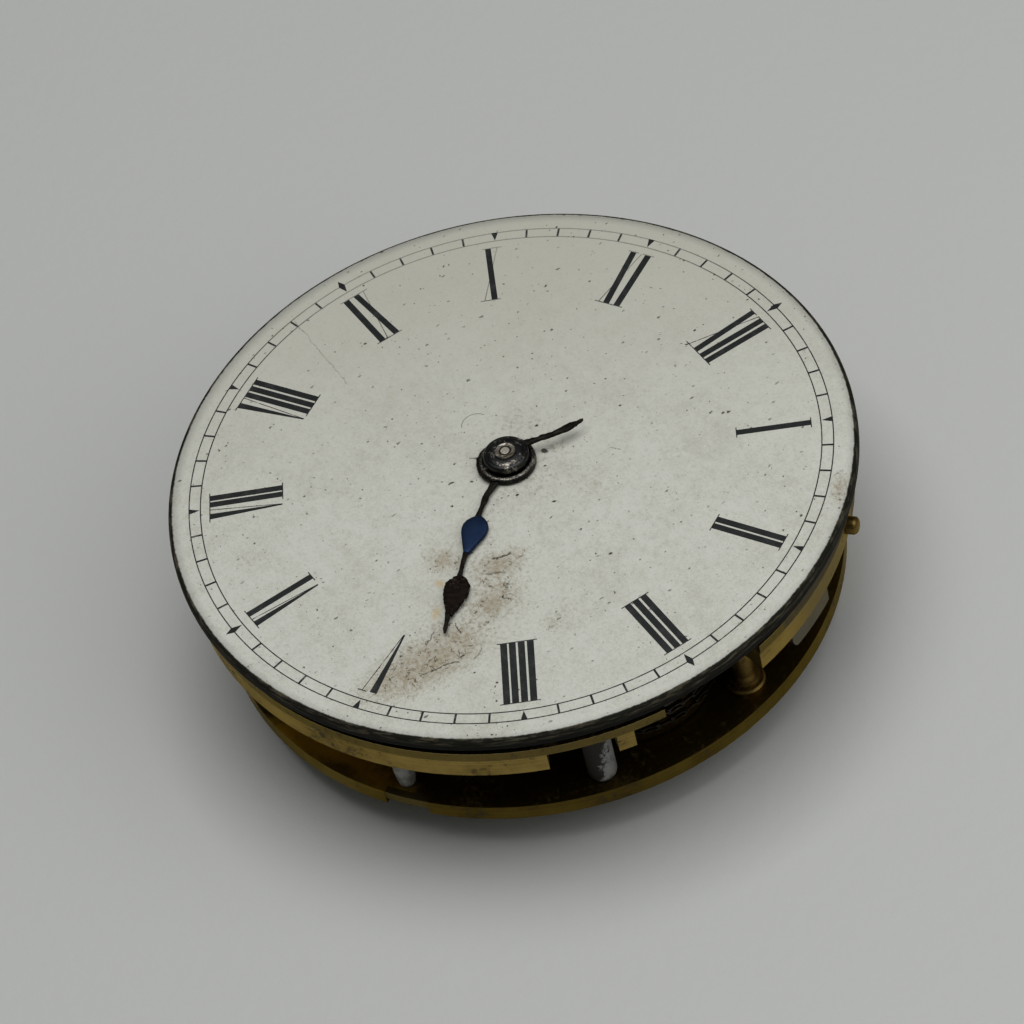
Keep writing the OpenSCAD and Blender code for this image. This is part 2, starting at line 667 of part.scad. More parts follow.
// Barrel, its spring and the set-up ratchet under the dial
z_barrel0 = z_top1 + 0.19;
z_barrel1 = z_in - 0.27;
barrel_floor = 0.45;
cover_t = 0.4;
cover_in = 0.1;
z_cover0 = z_barrel1 - cover_in - cover_t;
hub_r = 1.9;
module barrel() {
    inner_r = barrel_r - barrel_wall;
    color("gold") place(barrel_pos) difference() {
        disc(barrel_r, z_barrel0, z_barrel1, $fn = 128);
        disc(inner_r, z_barrel0 + barrel_floor, z_barrel1 + 1, $fn = 128);
        disc(barrel_journal_r + 0.2 + run_gap, z_barrel0 - 1, z_barrel1);
    }
}
module barrel_cover() {
    color("khaki") place(barrel_pos) difference() {
        disc(barrel_r - barrel_wall - seat_gap, z_cover0, z_cover0 + cover_t, $fn = 128);
        disc(barrel_journal_r + 0.2 + run_gap, z_cover0 - 1, z_barrel1);
    }
}
module barrel_arbor() {
    color("lightslategray") place(barrel_pos) turned([
        [barrel_journal_r, z_bar0 + 0.2, z_plate1 + ratchet_t],
        [barrel_journal_r + 0.2, z_barrel0 - 0.08, z_in - shake],
        [hub_r, z_barrel0 + barrel_floor + shake, z_cover0 - shake]]);
}
spring_in = hub_r + 0.12;
spring_out = barrel_r - barrel_wall - 0.05;
spring_steps = 24;
spring_pitch = (spring_out - spring_in - mainspring_t) / mainspring_turns;
function spring_r(i) = spring_in + spring_pitch * i / spring_steps;
module mainspring() {
    count = mainspring_turns * spring_steps;
    z0 = z_barrel0 + barrel_floor + shake;
    color("steelblue") place(barrel_pos, z0) linear_extrude(z_cover0 - shake - z0) polygon(concat(
        [for (i = [0:count]) along(360 * i / spring_steps, spring_r(i))],
        [for (i = [count:-1:0]) along(360 * i / spring_steps, spring_r(i) + mainspring_t)]));
}
ratchet_t = 0.34;
ratchet_tooth = 0.35;
// The click's nose lies in a tooth gap, its pivot on the tangent through the nose
nose_dir = 200;
nose_r = ratchet_r - 0.2;
click_l = 2.6;
click_pos = barrel_pos + along(nose_dir, nose_r) - along(nose_dir + 90, click_l);
face_turn = 2.35;
function ratchet_points(a) = [along(a + 0.15, ratchet_r - ratchet_tooth), along(a - 0.15, ratchet_r)];
module barrel_ratchet() {
    step = 360 / ratchet_n;
    color("slategray") place(barrel_pos, z_plate1 + shake) difference() {
        linear_extrude(ratchet_t - shake)
            polygon([for (k = [0:ratchet_n - 1], q = ratchet_points(nose_dir + face_turn + step * k)) q]);
        translate([0, 0, -e]) cylinder(r = barrel_journal_r + seat_gap, h = ratchet_t);
    }
}
click_r = 0.7;
module ratchet_click() {
    color("lightslategray") place(click_pos, z_plate1 + shake) rotate([0, 0, nose_dir + 90]) difference() {
        linear_extrude(ratchet_t - shake) union() {
            circle(r = click_r);
            polygon([[0, -click_r], [1.6, -0.55], [click_l + 0.03, -0.45], [click_l + 0.03, 0.05],
                     [click_l - 0.4, -0.17], [click_l - 0.6, -0.22], [1.3, -0.05], [0, 0.6]]);
        }
        translate([0, 0, -e]) cylinder(r = click_screw_r + run_gap, h = 1);
    }
}
module click_screw() {
    z1 = z_plate1 + ratchet_t + shake;
    head_h = 0.2;
    color("steelblue") place(click_pos) translate([0, 0, z1 + head_h]) rotate([180, 0, 0])
        screw(click_screw_r * 1.9, head_h, click_screw_r, 0, z1 - z_band - 0.1);
}
// Barrel bar over the barrel's pivot
bar_t = 0.8;
z_bar0 = z_top0 - bar_t;
bar_l = 3.9;
bar_w = 4.4;
bar_screw_r = 0.4;
bar_dir = 108;
function bar_screw_pos(s) = barrel_pos + along(bar_dir, s * bar_l);
module barrel_bar() {
    color("darkgoldenrod") place(barrel_pos, z_bar0) rotate([0, 0, bar_dir]) difference() {
        linear_extrude(bar_t) union() {
            square([2 * bar_l, bar_w * 0.72], center = true);
            circle(r = bar_w / 2 + 0.4);
            for (s = [-1, 1]) translate([s * bar_l, 0]) circle(r = bar_w * 0.36);
        }
        translate([0, 0, -e]) cylinder(r = barrel_journal_r + seat_gap, h = bar_t + 2 * e);
        for (s = [-1, 1]) translate([s * bar_l, 0, -e])
            cylinder(r = bar_screw_r + seat_gap, h = bar_t + 2 * e);
    }
}
module bar_screws() {
    head_h = 0.4;
    color("steelblue") for (s = [-1, 1]) place(bar_screw_pos(s)) rotate([0, 0, 40 + 65 * s])
        screw(bar_screw_r * 2.2, head_h, bar_screw_r, z_bar0 - head_h, bar_t + top_t - 0.1);
}

// Fusee chain: one unbroken band wound on the barrel, run across and hooked on the fusee
chain_sides = 6;
chain_steps = 24;
chain_pitch = 0.88;
chain_air = 0.12;
chain_barrel_r = barrel_r + chain_air + chain_t / 2;
chain_fusee_r = fusee_r(groove_z(0) + groove_w / 2) - groove_depth + chain_air + chain_t / 2;
chain_span = norm(fusee_pos - barrel_pos);
chain_normal = aim(barrel_pos, fusee_pos) + acos((chain_barrel_r - chain_fusee_r) / chain_span);
z_chain = groove_z(0);
chain_hold = 45;
chain_wound = [for (i = [0:chain_turns * chain_steps])
    let (left = chain_turns - i / chain_steps, a = chain_normal + 360 * left)
    [barrel_pos, a, chain_barrel_r, z_chain - chain_pitch * left]];
chain_caught = [for (i = [0:4]) [fusee_pos, chain_normal - chain_hold * i / 4, chain_fusee_r, z_chain]];
chain_path = concat(chain_wound, chain_caught);
function chain_ring(s) = [for (k = [0:chain_sides - 1]) let (b = 60 * k)
    concat(s[0] + along(s[1], s[2] + chain_t / 2 * cos(b)), [s[3] + chain_h / 2 * sin(b) / sin(60)])];
function middle(s) = concat(s[0] + along(s[1], s[2]), [s[3]]);
// Skin of a tube through rings of equal size
function skin(rings, sides) = concat(
    [for (i = [0:rings - 2], k = [0:sides - 1], f = [0, 1])
        let (a = i * sides + k, b = i * sides + (k + 1) % sides)
        f == 0 ? [a, b, b + sides] : [a, b + sides, a + sides]],
    [for (k = [1:sides - 2]) [0, k + 1, k]],
    [for (k = [1:sides - 2]) let (o = (rings - 1) * sides) [o, o + k, o + k + 1]]);
module fusee_chain() {
    color("gray") polyhedron([for (s = chain_path, q = chain_ring(s)) q],
                             [for (f = skin(len(chain_path), chain_sides)) [f[2], f[1], f[0]]]);
}
chain_gap = min([for (i = [0:len(chain_wound) - 1 - chain_steps])
    norm(middle(chain_wound[i]) - middle(chain_wound[i + chain_steps]))]) - chain_h;
echo(chain_least_gap = chain_gap);

// Third, fourth and escape wheels
module train_arbor(p, r, z1, seats, leaves, m, phase, zp) {
    color("lightslategray") place(p) {
        turned(concat([[pivot_r, z_top0 + 0.15, z_top1 + shake + e], [r, z_top1 + shake, z1 - shake],
                       [pivot_r, z1 - shake - e, z1 + 0.6]], seats));
        translate([0, 0, zp - pinion_h / 2]) linear_extrude(pinion_h)
            polygon(pinion_outline(leaves, m, phase));
    }
}
seat_r_train = 0.5;
function wheel_seat(z) = [[seat_r_train, z - e, z + wheel_t], [seat_r_train + 0.3, z - collet_h, z]];
module third_arbor() {
    train_arbor(third_pos, arbor_r, z_band, wheel_seat(z_third), third_n, centre_m,
                aim(third_pos, [0, 0]) + 180 / third_n, z_centre + centre_t / 2);
}
module third_wheel() {
    color("goldenrod") place(third_pos, z_third)
        spoked(wheel_outline(third_wheel_n, third_m, fourth_n, aim(third_pos, fourth_pos)), wheel_t,
               seat_r_train + seat_gap, 1.3, third_wheel_n * third_m / 2 - 0.9, 4, 0.5);
}
module fourth_arbor() {
    train_arbor(fourth_pos, arbor_r, z_in, wheel_seat(z_fourth), fourth_n, third_m,
                aim(fourth_pos, third_pos) + 180 / fourth_n, z_third + wheel_t / 2);
}
module fourth_wheel() {
    color("goldenrod") place(fourth_pos, z_fourth)
        spoked(wheel_outline(fourth_wheel_n, fourth_m, escape_n, aim(fourth_pos, escape_pos)), wheel_t,
               seat_r_train + seat_gap, 1.2, fourth_wheel_n * fourth_m / 2 - 0.8, 4, 0.45);
}
escape_arbor_r = 0.32;
module escape_arbor() {
    train_arbor(escape_pos, escape_arbor_r, z_in,
                [[seat_r_train, z_escape - e, z_escape + escape_t],
                 [seat_r_train + 0.3, z_escape + escape_t, z_escape + escape_t + collet_h]],
                escape_n, fourth_m, aim(escape_pos, fourth_pos) + 180 / escape_n, z_fourth + wheel_t / 2);
}
// Slanted pointed teeth; the phase lets both pallets dip between teeth with the wheel at rest
escape_teeth = 15;
escape_root = 0.8;
escape_phase = 13.4;
tooth_flanks = [[1, -8], [0, -0.7], [0, 0.7], [1, -2.5]];
escape_outline = [for (k = [0:escape_teeth - 1], q = tooth_flanks)
    along(escape_to_lever + escape_phase + 360 / escape_teeth * k + q[1], escape_r - q[0] * escape_root)];
module escape_wheel() {
    color("goldenrod") place(escape_pos, z_escape)
        spoked(escape_outline, escape_t, seat_r_train + seat_gap, 1.1, escape_r - escape_root - 0.4, 4, 0.4);
}

// Lever: pallet frame, hub and toothed rack on one arbor
lever_arbor_r = 0.28;
lever_hub_r = 0.4;
stone_l = 1.05;
frame_w = 0.55;
frame_shift = 0.12;
rack_r = rack_n * rack_m / 2;
module stones2d(gap) {
    for (s = [-1, 1]) translate(along(escape_to_lever, -pallet_reach))
        rotate(escape_to_lever + s * pallet_half) translate([escape_r + pallet_gap, -stone_w / 2 - gap])
            square([stone_l, stone_w + 2 * gap]);
}
module lever() {
    frame_l = 2 * escape_r * sin(pallet_half) + 1.8;
    half = 180 / rack_n * rack_teeth;
    color("lightsteelblue") place(lever_pos) difference() {
        union() {
            translate([0, 0, z_escape]) linear_extrude(escape_t) difference() {
                rotate(escape_to_lever) translate([frame_shift, 0])
                    square([frame_w, frame_l], center = true);
                stones2d(seat_gap);
            }
            disc(lever_hub_r, z_escape, z_rack + rack_t);
            translate([0, 0, z_rack]) linear_extrude(rack_t) intersection() {
                polygon(wheel_outline(rack_n, rack_m, balance_n, lever_to_balance));
                union() {
                    rotate(lever_to_balance) translate([0, -0.35]) square([rack_r - 0.5, 0.7]);
                    difference() {
                        polygon(concat([[0, 0]],
                            [for (i = [-4:4]) along(lever_to_balance + half * i / 4, rack_r * 1.2)]));
                        circle(r = rack_r - 0.8);
                    }
                }
            }
        }
        disc(lever_arbor_r + seat_gap, z_escape - 1, z_rack + 1);
    }
}
module pallet_stones() {
    color("firebrick") place(lever_pos, z_escape) linear_extrude(escape_t) stones2d(0);
}
lever_pivot_r = pivot_r;
module lever_arbor() {
    color("lightslategray") place(lever_pos) turned([[lever_pivot_r, z_top0 + 0.15, z_top1 + shake + e],
        [lever_arbor_r, z_top1 + shake, z_in - shake], [lever_pivot_r, z_in - shake - e, z_in + 0.6]]);
}

// Potence that carries the inner pivot of the balance
potence_reach = 2.9;
potence_screw_r = 0.4;
potence_head_r = 0.8;
potence_head_h = 0.5;
potence_pos = balance_pos + along(lever_to_balance, potence_reach);
potence_r = 1.15;
staff_pivot_r = 0.13;
module potence() {
    color("darkgoldenrod") place(balance_pos) difference() {
        union() {
            place(along(lever_to_balance, potence_reach)) disc(potence_r, z_top1, z_potence + potence_t);
            translate([0, 0, z_potence]) linear_extrude(potence_t) {
                circle(r = 0.9);
                rotate(lever_to_balance) translate([0, -0.75]) square([potence_reach, 1.5]);
            }
        }
        disc(staff_pivot_r + run_gap, z_potence - 1, z_potence + 1);
        place(along(lever_to_balance, potence_reach))
            disc(potence_screw_r + seat_gap, z_top1 - 1, z_top1 + 1.4);
    }
}
module potence_screw() {
    color("steelblue") place(potence_pos)
        screw(potence_head_r, potence_head_h, potence_screw_r, z_top0, top_t - potence_head_h + 1.3);
}

// Balance
balance_r = balance_d / 2;
arm_t = 0.35;
z_arm = z_bal0 + (balance_rim_h - arm_t) / 2;
balance_hub_r = 1.3;
module balance_wheel() {
    color("gold") place(balance_pos) difference() {
        union() {
            rotate_extrude($fn = 128) translate([balance_r - balance_rim_w, z_bal0])
                square([balance_rim_w, balance_rim_h]);
            disc(balance_hub_r, z_arm, z_arm + arm_t);
            for (i = [0:2]) rotate([0, 0, 120 * i + 30]) translate([0, -balance_arm_w / 2, z_arm])
                cube([balance_r - balance_rim_w / 2, balance_arm_w, arm_t]);
        }
        disc(staff_r + seat_gap, z_bal0 - 1, z_bal1 + 1);
    }
}
module balance_staff() {
    color("lightslategray") place(balance_pos) {
        turned([[staff_pivot_r, z_cock1 - jewel_t, z_cock1 + shake + e],
                [staff_r, z_cock1 + shake, z_potence - shake], [staff_r + 0.45, z_arm - 0.2, z_arm],
                [staff_pivot_r, z_potence - shake - e, z_potence + potence_t]]);
        translate([0, 0, z_rack + rack_t / 2 - pinion_h * 0.4]) linear_extrude(pinion_h * 0.8)
            polygon(pinion_outline(balance_n, rack_m, lever_to_balance + 180 + 180 / balance_n));
    }
}
// Hairspring: one unbroken spiral from the collet to the stud
hair_h = 0.2;
z_hair = z_bal1 + 0.3;
collet_r = 0.85;
hair_sides = 6;
hair_steps = 24;
hair_in = collet_r + hairspring_t / 2 + 0.04;
hair_count = hairspring_turns * hair_steps;
hair_pitch = (hairspring_r - hair_in) / hairspring_turns;
hair_path = [for (i = [0:hair_count]) let (back = hairspring_turns - i / hair_steps)
    [stud_dir - 360 * back, hairspring_r - hair_pitch * back]];
function hair_ring(s) = [for (k = [0:hair_sides - 1]) let (b = 60 * k)
    concat(along(s[0], s[1] + hairspring_t / 2 * cos(b)), [hair_h / 2 * sin(b) / sin(60)])];
module hairspring() {
    color("royalblue") place(balance_pos, z_hair)
        polyhedron([for (s = hair_path, q = hair_ring(s)) q],
                   [for (f = skin(hair_count + 1, hair_sides)) f]);
}
hair_gap = min([for (i = [0:hair_count - hair_steps])
    norm(along(hair_path[i][0], hair_path[i][1])
         - along(hair_path[i + hair_steps][0], hair_path[i + hair_steps][1]))]) - hairspring_t;
echo(hairspring_least_gap = hair_gap);
module hairspring_collet() {
    color("gold") place(balance_pos) difference() {
        disc(collet_r, z_hair - 0.18, z_hair + 0.18);
        disc(staff_r + seat_gap, z_hair - 1, z_hair + 1);
    }
}
hair_stud_w = 0.8;
hair_stud_pin_r = 0.25;
hair_stud_pos = balance_pos + turn([hairspring_r, hair_stud_w / 2 + seat_gap], stud_dir);
module hairspring_stud() {
    z0 = z_hair - 0.2;
    color("darkgoldenrod") place(hair_stud_pos) {
        rotate([0, 0, stud_dir]) translate([-hair_stud_w / 2, -hair_stud_w / 2, z0])
            cube([hair_stud_w, hair_stud_w, z_top0 - z0]);
        disc(hair_stud_pin_r, z_top0 - e, z_top1 - 0.1);
    }
}
// Regulator sprung round the boss on the top plate, with two curb pins
regulator_t = 0.22;
z_regulator = z_top0 - shake - regulator_t;
curb_pin_r = 0.09;
curb_play = 0.1;
curb_r = hairspring_r - hair_pitch * (stud_dir - curb_dir) / 360;
curb_off = hairspring_t / 2 + curb_play + curb_pin_r;
module regulator() {
    ring_w = 0.9;
    color("steelblue") place(balance_pos) {
        translate([0, 0, z_regulator]) linear_extrude(regulator_t) difference() {
            union() {
                circle(r = boss_r + run_gap + ring_w);
                rotate(pointer_dir) polygon([[0, -0.6], [pointer_l - 1.2, -0.35], [pointer_l, 0],
                                             [pointer_l - 1.2, 0.35], [0, 0.6]]);
                rotate(curb_dir) translate([0, -0.45]) square([curb_r + 0.7, 0.9]);
            }
            circle(r = boss_r + run_gap);
        }
        for (s = [-1, 1]) place(along(curb_dir, curb_r + s * curb_off))
            disc(curb_pin_r, z_hair - hair_h, z_regulator + e);
    }
}

// Balance cock: round table, neck and curved foot
cock_hours = [0.2, 1.45];
cock_foot_r = [top_r - 6.7, top_r - 1.1];
balance_room = 0.5;
cock_screw_r = 0.55;
cock_head_r = 1.15;
cock_head_h = 0.55;
cock_screw_pos = at(0.82, top_r - 3.8);
cock_pin_r = 0.3;
cock_pin_pos = [at(0.45, top_r - 2.9), at(1.25, top_r - 3.5)];
cap_r = 1.7;
cap_screw_r = 0.25;
cap_screw_at = 1.15;
jewel_r = 0.7;
jewel_t = 0.6;
neck_w = 6.4;
module cock_cap_holes(r, z0, z1) {
    for (s = [-1, 1]) place(along(60, s * cap_screw_at)) disc(r, z0, z1);
}
module balance_cock() {
    neck = aim(balance_pos, cock_screw_pos);
    color("darkgoldenrod") difference() {
        union() {
            place(balance_pos) disc(cock_table_r, z_cock0, z_cock1);
            translate([0, 0, z_cock0]) linear_extrude(cock_t)
                polygon([balance_pos + along(neck + 90, neck_w / 2), at(cock_hours[0], cock_foot_r[0] + 1),
                         at(cock_hours[1], cock_foot_r[0] + 1),
                         balance_pos + along(neck - 90, neck_w / 2)]);
            difference() {
                sector(cock_hours, cock_foot_r[0], cock_foot_r[1], z_cock0, z_top0);
                place(balance_pos) disc(balance_r + balance_room, z_cock1, z_top0 + 1, $fn = 128);
            }
            for (p = cock_pin_pos) place(p) disc(cock_pin_r, z_top0 - e, z_top0 + 0.7);
        }
        place(balance_pos) {
            disc(jewel_r + seat_gap, z_cock0 - 1, z_cock1 + 1);
            cock_cap_holes(cap_screw_r + seat_gap, z_cock0 - 1, z_cock0 + 0.6);
        }
        place(cock_screw_pos) {
            disc(cock_screw_r + seat_gap, z_cock0 - 1, z_top0 + 1);
            disc(cock_head_r + seat_gap, z_cock0 - 1, z_cock0 + cock_head_h);
        }
    }
}
module cock_screw() {
    color("steelblue") place(cock_screw_pos)
        screw(cock_head_r, cock_head_h, cock_screw_r, z_cock0, z_top1 - z_cock0 - cock_head_h - 0.1);
}
module cock_jewel() {
    color("crimson") place(balance_pos) difference() {
        disc(jewel_r, z_cock0, z_cock1);
        disc(staff_pivot_r + run_gap, z_cock1 - jewel_t - 0.05, z_cock1 + 1);
    }
}
module cock_cap() {
    color("steelblue") place(balance_pos) difference() {
        disc(cap_r, 0, cap_t);
        disc(jewel_r * 0.75, -1, cap_t + 1);
        cock_cap_holes(cap_screw_r + seat_gap, -1, cap_t + 1);
    }
}
module cap_screws() {
    color("lightsteelblue") place(balance_pos) for (s = [-1, 1]) place(along(60, s * cap_screw_at))
        rotate([0, 0, 50 * s]) screw(cap_screw_r, cap_t, cap_screw_r, 0, 0.5);
}

// Fusee stop: a blade hinged in a stud on the top plate
stop_reach = 7.4;
stop_dir = 0;
stop_pos = fusee_pos + along(stop_dir, stop_reach);
stop_tenon_r = 0.35;
stop_r = 0.85;
stop_blade_w = 1;
stop_blade_t = 0.28;
stop_pin_r = 0.15;
z_stop = z_fusee0 + 0.08;
z_stop_axis = z_stop + stop_blade_t / 2;
stop_tip = beak_r - 0.45;
stop_block = 0.32;
module stop_stud() {
    slot = stop_blade_w + 2 * shake;
    z_floor = z_stop_axis - stop_block - 0.12;
    color("goldenrod") place(stop_pos) rotate([0, 0, stop_dir]) difference() {
        union() {
            disc(stop_r, z_top1, z_stop_axis + 0.55);
            disc(stop_tenon_r, z_top0 + 0.1, z_top1 + e);
        }
        translate([-2, -slot / 2, z_floor]) cube([4, slot, 2]);
        translate([0, -2, z_stop_axis]) rotate([-90, 0, 0]) cylinder(r = stop_pin_r + seat_gap, h = 4);
    }
}
module stop_pin() {
    half = sqrt(stop_r * stop_r - stop_pin_r * stop_pin_r);
    color("lightslategray") place(stop_pos, z_stop_axis) rotate([0, 0, stop_dir]) rotate([90, 0, 0])
        cylinder(r = stop_pin_r, h = 2 * half, center = true);
}
module stop_iron() {
    length = stop_reach - stop_tip;
    back = 0.4;
    color("slategray") place(stop_pos, z_stop_axis) rotate([0, 0, stop_dir + 180]) difference() {
        union() {
            translate([-back, -stop_blade_w / 2, -stop_block])
                cube([2 * back, stop_blade_w, 2 * stop_block]);
            translate([0, -stop_blade_w / 2, -stop_blade_t / 2]) cube([length, stop_blade_w, stop_blade_t]);
        }
        translate([0, -2, 0]) rotate([-90, 0, 0]) cylinder(r = stop_pin_r + run_gap, h = 4);
    }
}

dial();
dial_feet();
dial_pins();
hour_hand();
minute_hand();
cannon_pinion();
minute_wheel();
minute_stud();
hour_wheel();
pillar_plate();
rim_pin();
pillars();
turned_pillars();
pillar_pins();
top_plate();
centre_arbor();
centre_wheel();
great_wheel();
fusee_cone();
fusee_beak();
fusee_arbor();
barrel();
barrel_cover();
barrel_arbor();
mainspring();
barrel_ratchet();
ratchet_click();
click_screw();
barrel_bar();
bar_screws();
fusee_chain();
third_arbor();
third_wheel();
fourth_arbor();
fourth_wheel();
escape_arbor();
escape_wheel();
lever();
pallet_stones();
lever_arbor();
potence();
potence_screw();
balance_wheel();
balance_staff();
hairspring();
hairspring_collet();
hairspring_stud();
regulator();
balance_cock();
cock_screw();
cock_jewel();
cock_cap();
cap_screws();
stop_stud();
stop_pin();
stop_iron();
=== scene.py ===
import json
import math
import random
import bpy
import bmesh
from mathutils import Matrix, Vector


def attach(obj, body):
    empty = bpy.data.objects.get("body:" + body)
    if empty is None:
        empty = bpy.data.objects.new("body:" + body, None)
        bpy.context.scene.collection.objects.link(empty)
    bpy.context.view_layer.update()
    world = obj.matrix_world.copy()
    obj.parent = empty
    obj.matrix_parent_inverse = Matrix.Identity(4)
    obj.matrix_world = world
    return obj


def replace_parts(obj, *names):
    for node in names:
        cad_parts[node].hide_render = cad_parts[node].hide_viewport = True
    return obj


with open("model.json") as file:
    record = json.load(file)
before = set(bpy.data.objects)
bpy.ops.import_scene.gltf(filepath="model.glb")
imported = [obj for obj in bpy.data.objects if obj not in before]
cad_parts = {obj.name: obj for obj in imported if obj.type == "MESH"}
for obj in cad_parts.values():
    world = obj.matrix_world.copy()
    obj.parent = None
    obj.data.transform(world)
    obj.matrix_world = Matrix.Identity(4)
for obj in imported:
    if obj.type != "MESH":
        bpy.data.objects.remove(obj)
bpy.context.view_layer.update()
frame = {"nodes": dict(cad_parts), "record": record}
scene = bpy.context.scene
mm = 0.001
weld = 1e-7   # points nearer than this become one
print("frame loaded with", len(frame["nodes"]), "nodes")


def hourSpot(hour, radius):
    a = math.radians(30 * hour)
    return Vector((radius * math.sin(a), radius * math.cos(a)))


# shader sockets as numbers: an expression on wires adds its Math nodes
class Wire:
    def __init__(self, paint, socket):
        self.paint = paint
        self.socket = socket

    def calc(self, operation, other=None, flip=False):
        pair = (other, self) if flip else (self, other)
        values = {i: v for i, v in enumerate(pair) if v is not None}
        return self.paint.node("ShaderNodeMath", {"operation": operation}, values)

    def __add__(self, other):
        return self.calc("ADD", other)

    def __sub__(self, other):
        return self.calc("SUBTRACT", other)

    def __rsub__(self, other):
        return self.calc("SUBTRACT", other, True)

    def __mul__(self, other):
        return self.calc("MULTIPLY", other)

    def __truediv__(self, other):
        return self.calc("DIVIDE", other)

    __radd__ = __add__
    __rmul__ = __mul__

    def below(self, other):
        return self.calc("LESS_THAN", other)

    def least(self, other):
        return self.calc("MINIMUM", other)

    def most(self, other):
        return self.calc("MAXIMUM", other)

    def size(self):
        return self.calc("ABSOLUTE")

    def root(self):
        return self.calc("SQRT")

    # 0 at low, 1 at high, smooth between
    def rise(self, low, high):
        return self.paint.node("ShaderNodeMapRange", {"interpolation_type": "SMOOTHSTEP"},
                               {"Value": self, "From Min": low, "From Max": high})

    def also(self, out):
        return Wire(self.paint, self.socket.node.outputs[out])


class Paint:
    def __init__(self, name, look):
        self.material = bpy.data.materials.new(name)
        self.material.use_nodes = True
        self.tree = self.material.node_tree
        self.shader = self.tree.nodes["Principled BSDF"]
        for key, value in look.items():
            self.shader.inputs[key].default_value = (*value, 1) if key == "Base Color" else value

    # any node: settings first, then its sockets' values or links
    def node(self, kind, settings=None, values=None, out=0):
        made = self.tree.nodes.new(kind)
        for key, value in (settings or {}).items():
            setattr(made, key, value)
        for key, value in (values or {}).items():
            if isinstance(value, Wire):
                self.tree.links.new(value.socket, made.inputs[key])
            else:
                made.inputs[key].default_value = value
        return Wire(self, made.outputs[out])

    def feed(self, name, wire):
        self.tree.links.new(wire.socket, self.shader.inputs[name])

    # object coordinates in millimetres
    def spot(self):
        here = self.node("ShaderNodeTexCoord", out="Object")
        return self.node("ShaderNodeVectorMath", {"operation": "SCALE"}, {"Vector": here, "Scale": 1000.0})

    def split(self, vector):
        x = self.node("ShaderNodeSeparateXYZ", {}, {0: vector})
        return x, x.also(1), x.also(2)

    # distance from the hand axis
    def around(self, x, y):
        return (x * x + y * y).root()

    def join(self, x, y, z):
        return self.node("ShaderNodeCombineXYZ", {}, {0: x, 1: y, 2: z})

    def noise(self, at, scale, detail=3.0, rough=0.55, warp=0.0):
        return self.node("ShaderNodeTexNoise", {}, {"Vector": at, "Scale": scale, "Detail": detail,
                                                    "Roughness": rough, "Distortion": warp})

    def shift(self, at, by, amount):
        moved = self.node("ShaderNodeVectorMath", {"operation": "SUBTRACT"}, {0: by, 1: (0.5, 0.5, 0.5)})
        moved = self.node("ShaderNodeVectorMath", {"operation": "SCALE"}, {"Vector": moved, "Scale": amount})
        return self.node("ShaderNodeVectorMath", {"operation": "ADD"}, {0: at, 1: moved})

    def blend(self, share, first, second):
        pair = [(*c, 1) if isinstance(c, tuple) else c for c in (first, second)]
        return self.node("ShaderNodeMix", {"data_type": "RGBA"}, {0: share, 6: pair[0], 7: pair[1]}, 2)

    def bump(self, height, strength, depth):
        self.feed("Normal", self.node("ShaderNodeBump", {}, {"Height": height, "Strength": strength,
                                                             "Distance": depth}))

    # dots of random size, one at most in each cell
    def dots(self, at, scale, share, biggest, stretch, turn):
        spun = self.node("ShaderNodeMapping", {}, {"Vector": at, "Rotation": (0, 0, turn), "Scale": (stretch, 1, 1)})
        gap = self.node("ShaderNodeTexVoronoi", {"voronoi_dimensions": "2D"}, {"Vector": spun, "Scale": scale})
        luck = self.split(gap.also("Color"))[0]
        reach = ((luck - (1 - share)) / share).most(0.0) * (biggest * scale)
        return ((reach - gap) * 14).rise(0.0, 1.0)

    # reach of an uneven oval: 1 on its edge, 0 in its middle
    def oval(self, x, y, ragged, middle, reach, turn):
        c, s = math.cos(turn), math.sin(turn)
        u = ((x - middle[0]) * c + (y - middle[1]) * s) / reach[0]
        v = ((y - middle[1]) * c - (x - middle[0]) * s) / reach[1]
        return (u * u + v * v).root() + (ragged - 0.5) * 2.0

    # soft uneven patch: 1 inside, 0 outside
    def patch(self, x, y, ragged, middle, reach, turn, soft):
        return 1 - self.oval(x, y, ragged, middle, reach, turn).rise(1 - soft, 1.0)

    # thin mark from one point to another, bent by an uneven value
    def streak(self, x, y, ragged, start, end, width, bend=0.5):
        way = Vector(end) - Vector(start)
        half, way = way.length / 2, way.normalized()
        mx, my = (start[0] + end[0]) / 2, (start[1] + end[1]) / 2
        u = (x - mx) * way.x + (y - my) * way.y
        v = (y - my) * way.x - (x - mx) * way.y + (ragged - 0.5) * bend
        return (1 - v.size().rise(width * 0.4, width)) * (1 - u.size().rise(half * 0.8, half))

    # the most of several masks
    def gather(self, wires):
        total = wires[0]
        for wire in wires[1:]:
            total = total.most(wire)
        return total


# finished piece: normals outward, smooth where it is round, riding on its body
def finishPiece(name, bm, body, paint, smooth=35):
    bmesh.ops.remove_doubles(bm, verts=bm.verts, dist=weld)
    bmesh.ops.recalc_face_normals(bm, faces=bm.faces)
    mesh = bpy.data.meshes.new(name)
    bm.to_mesh(mesh)
    bm.free()
    mesh.materials.append(paint.material)
    mesh.polygons.foreach_set("use_smooth", [True] * len(mesh.polygons))
    mesh.set_sharp_from_angle(angle=math.radians(smooth))
    piece = bpy.data.objects.new(name, mesh)
    scene.collection.objects.link(piece)
    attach(piece, body)
    return piece


def sinkFaces(bm, faces, depth):
    grown = bmesh.ops.extrude_face_region(bm, geom=faces)["geom"]
    bmesh.ops.translate(bm, verts=[v for v in grown if isinstance(v, bmesh.types.BMVert)], vec=(0, 0, -depth))


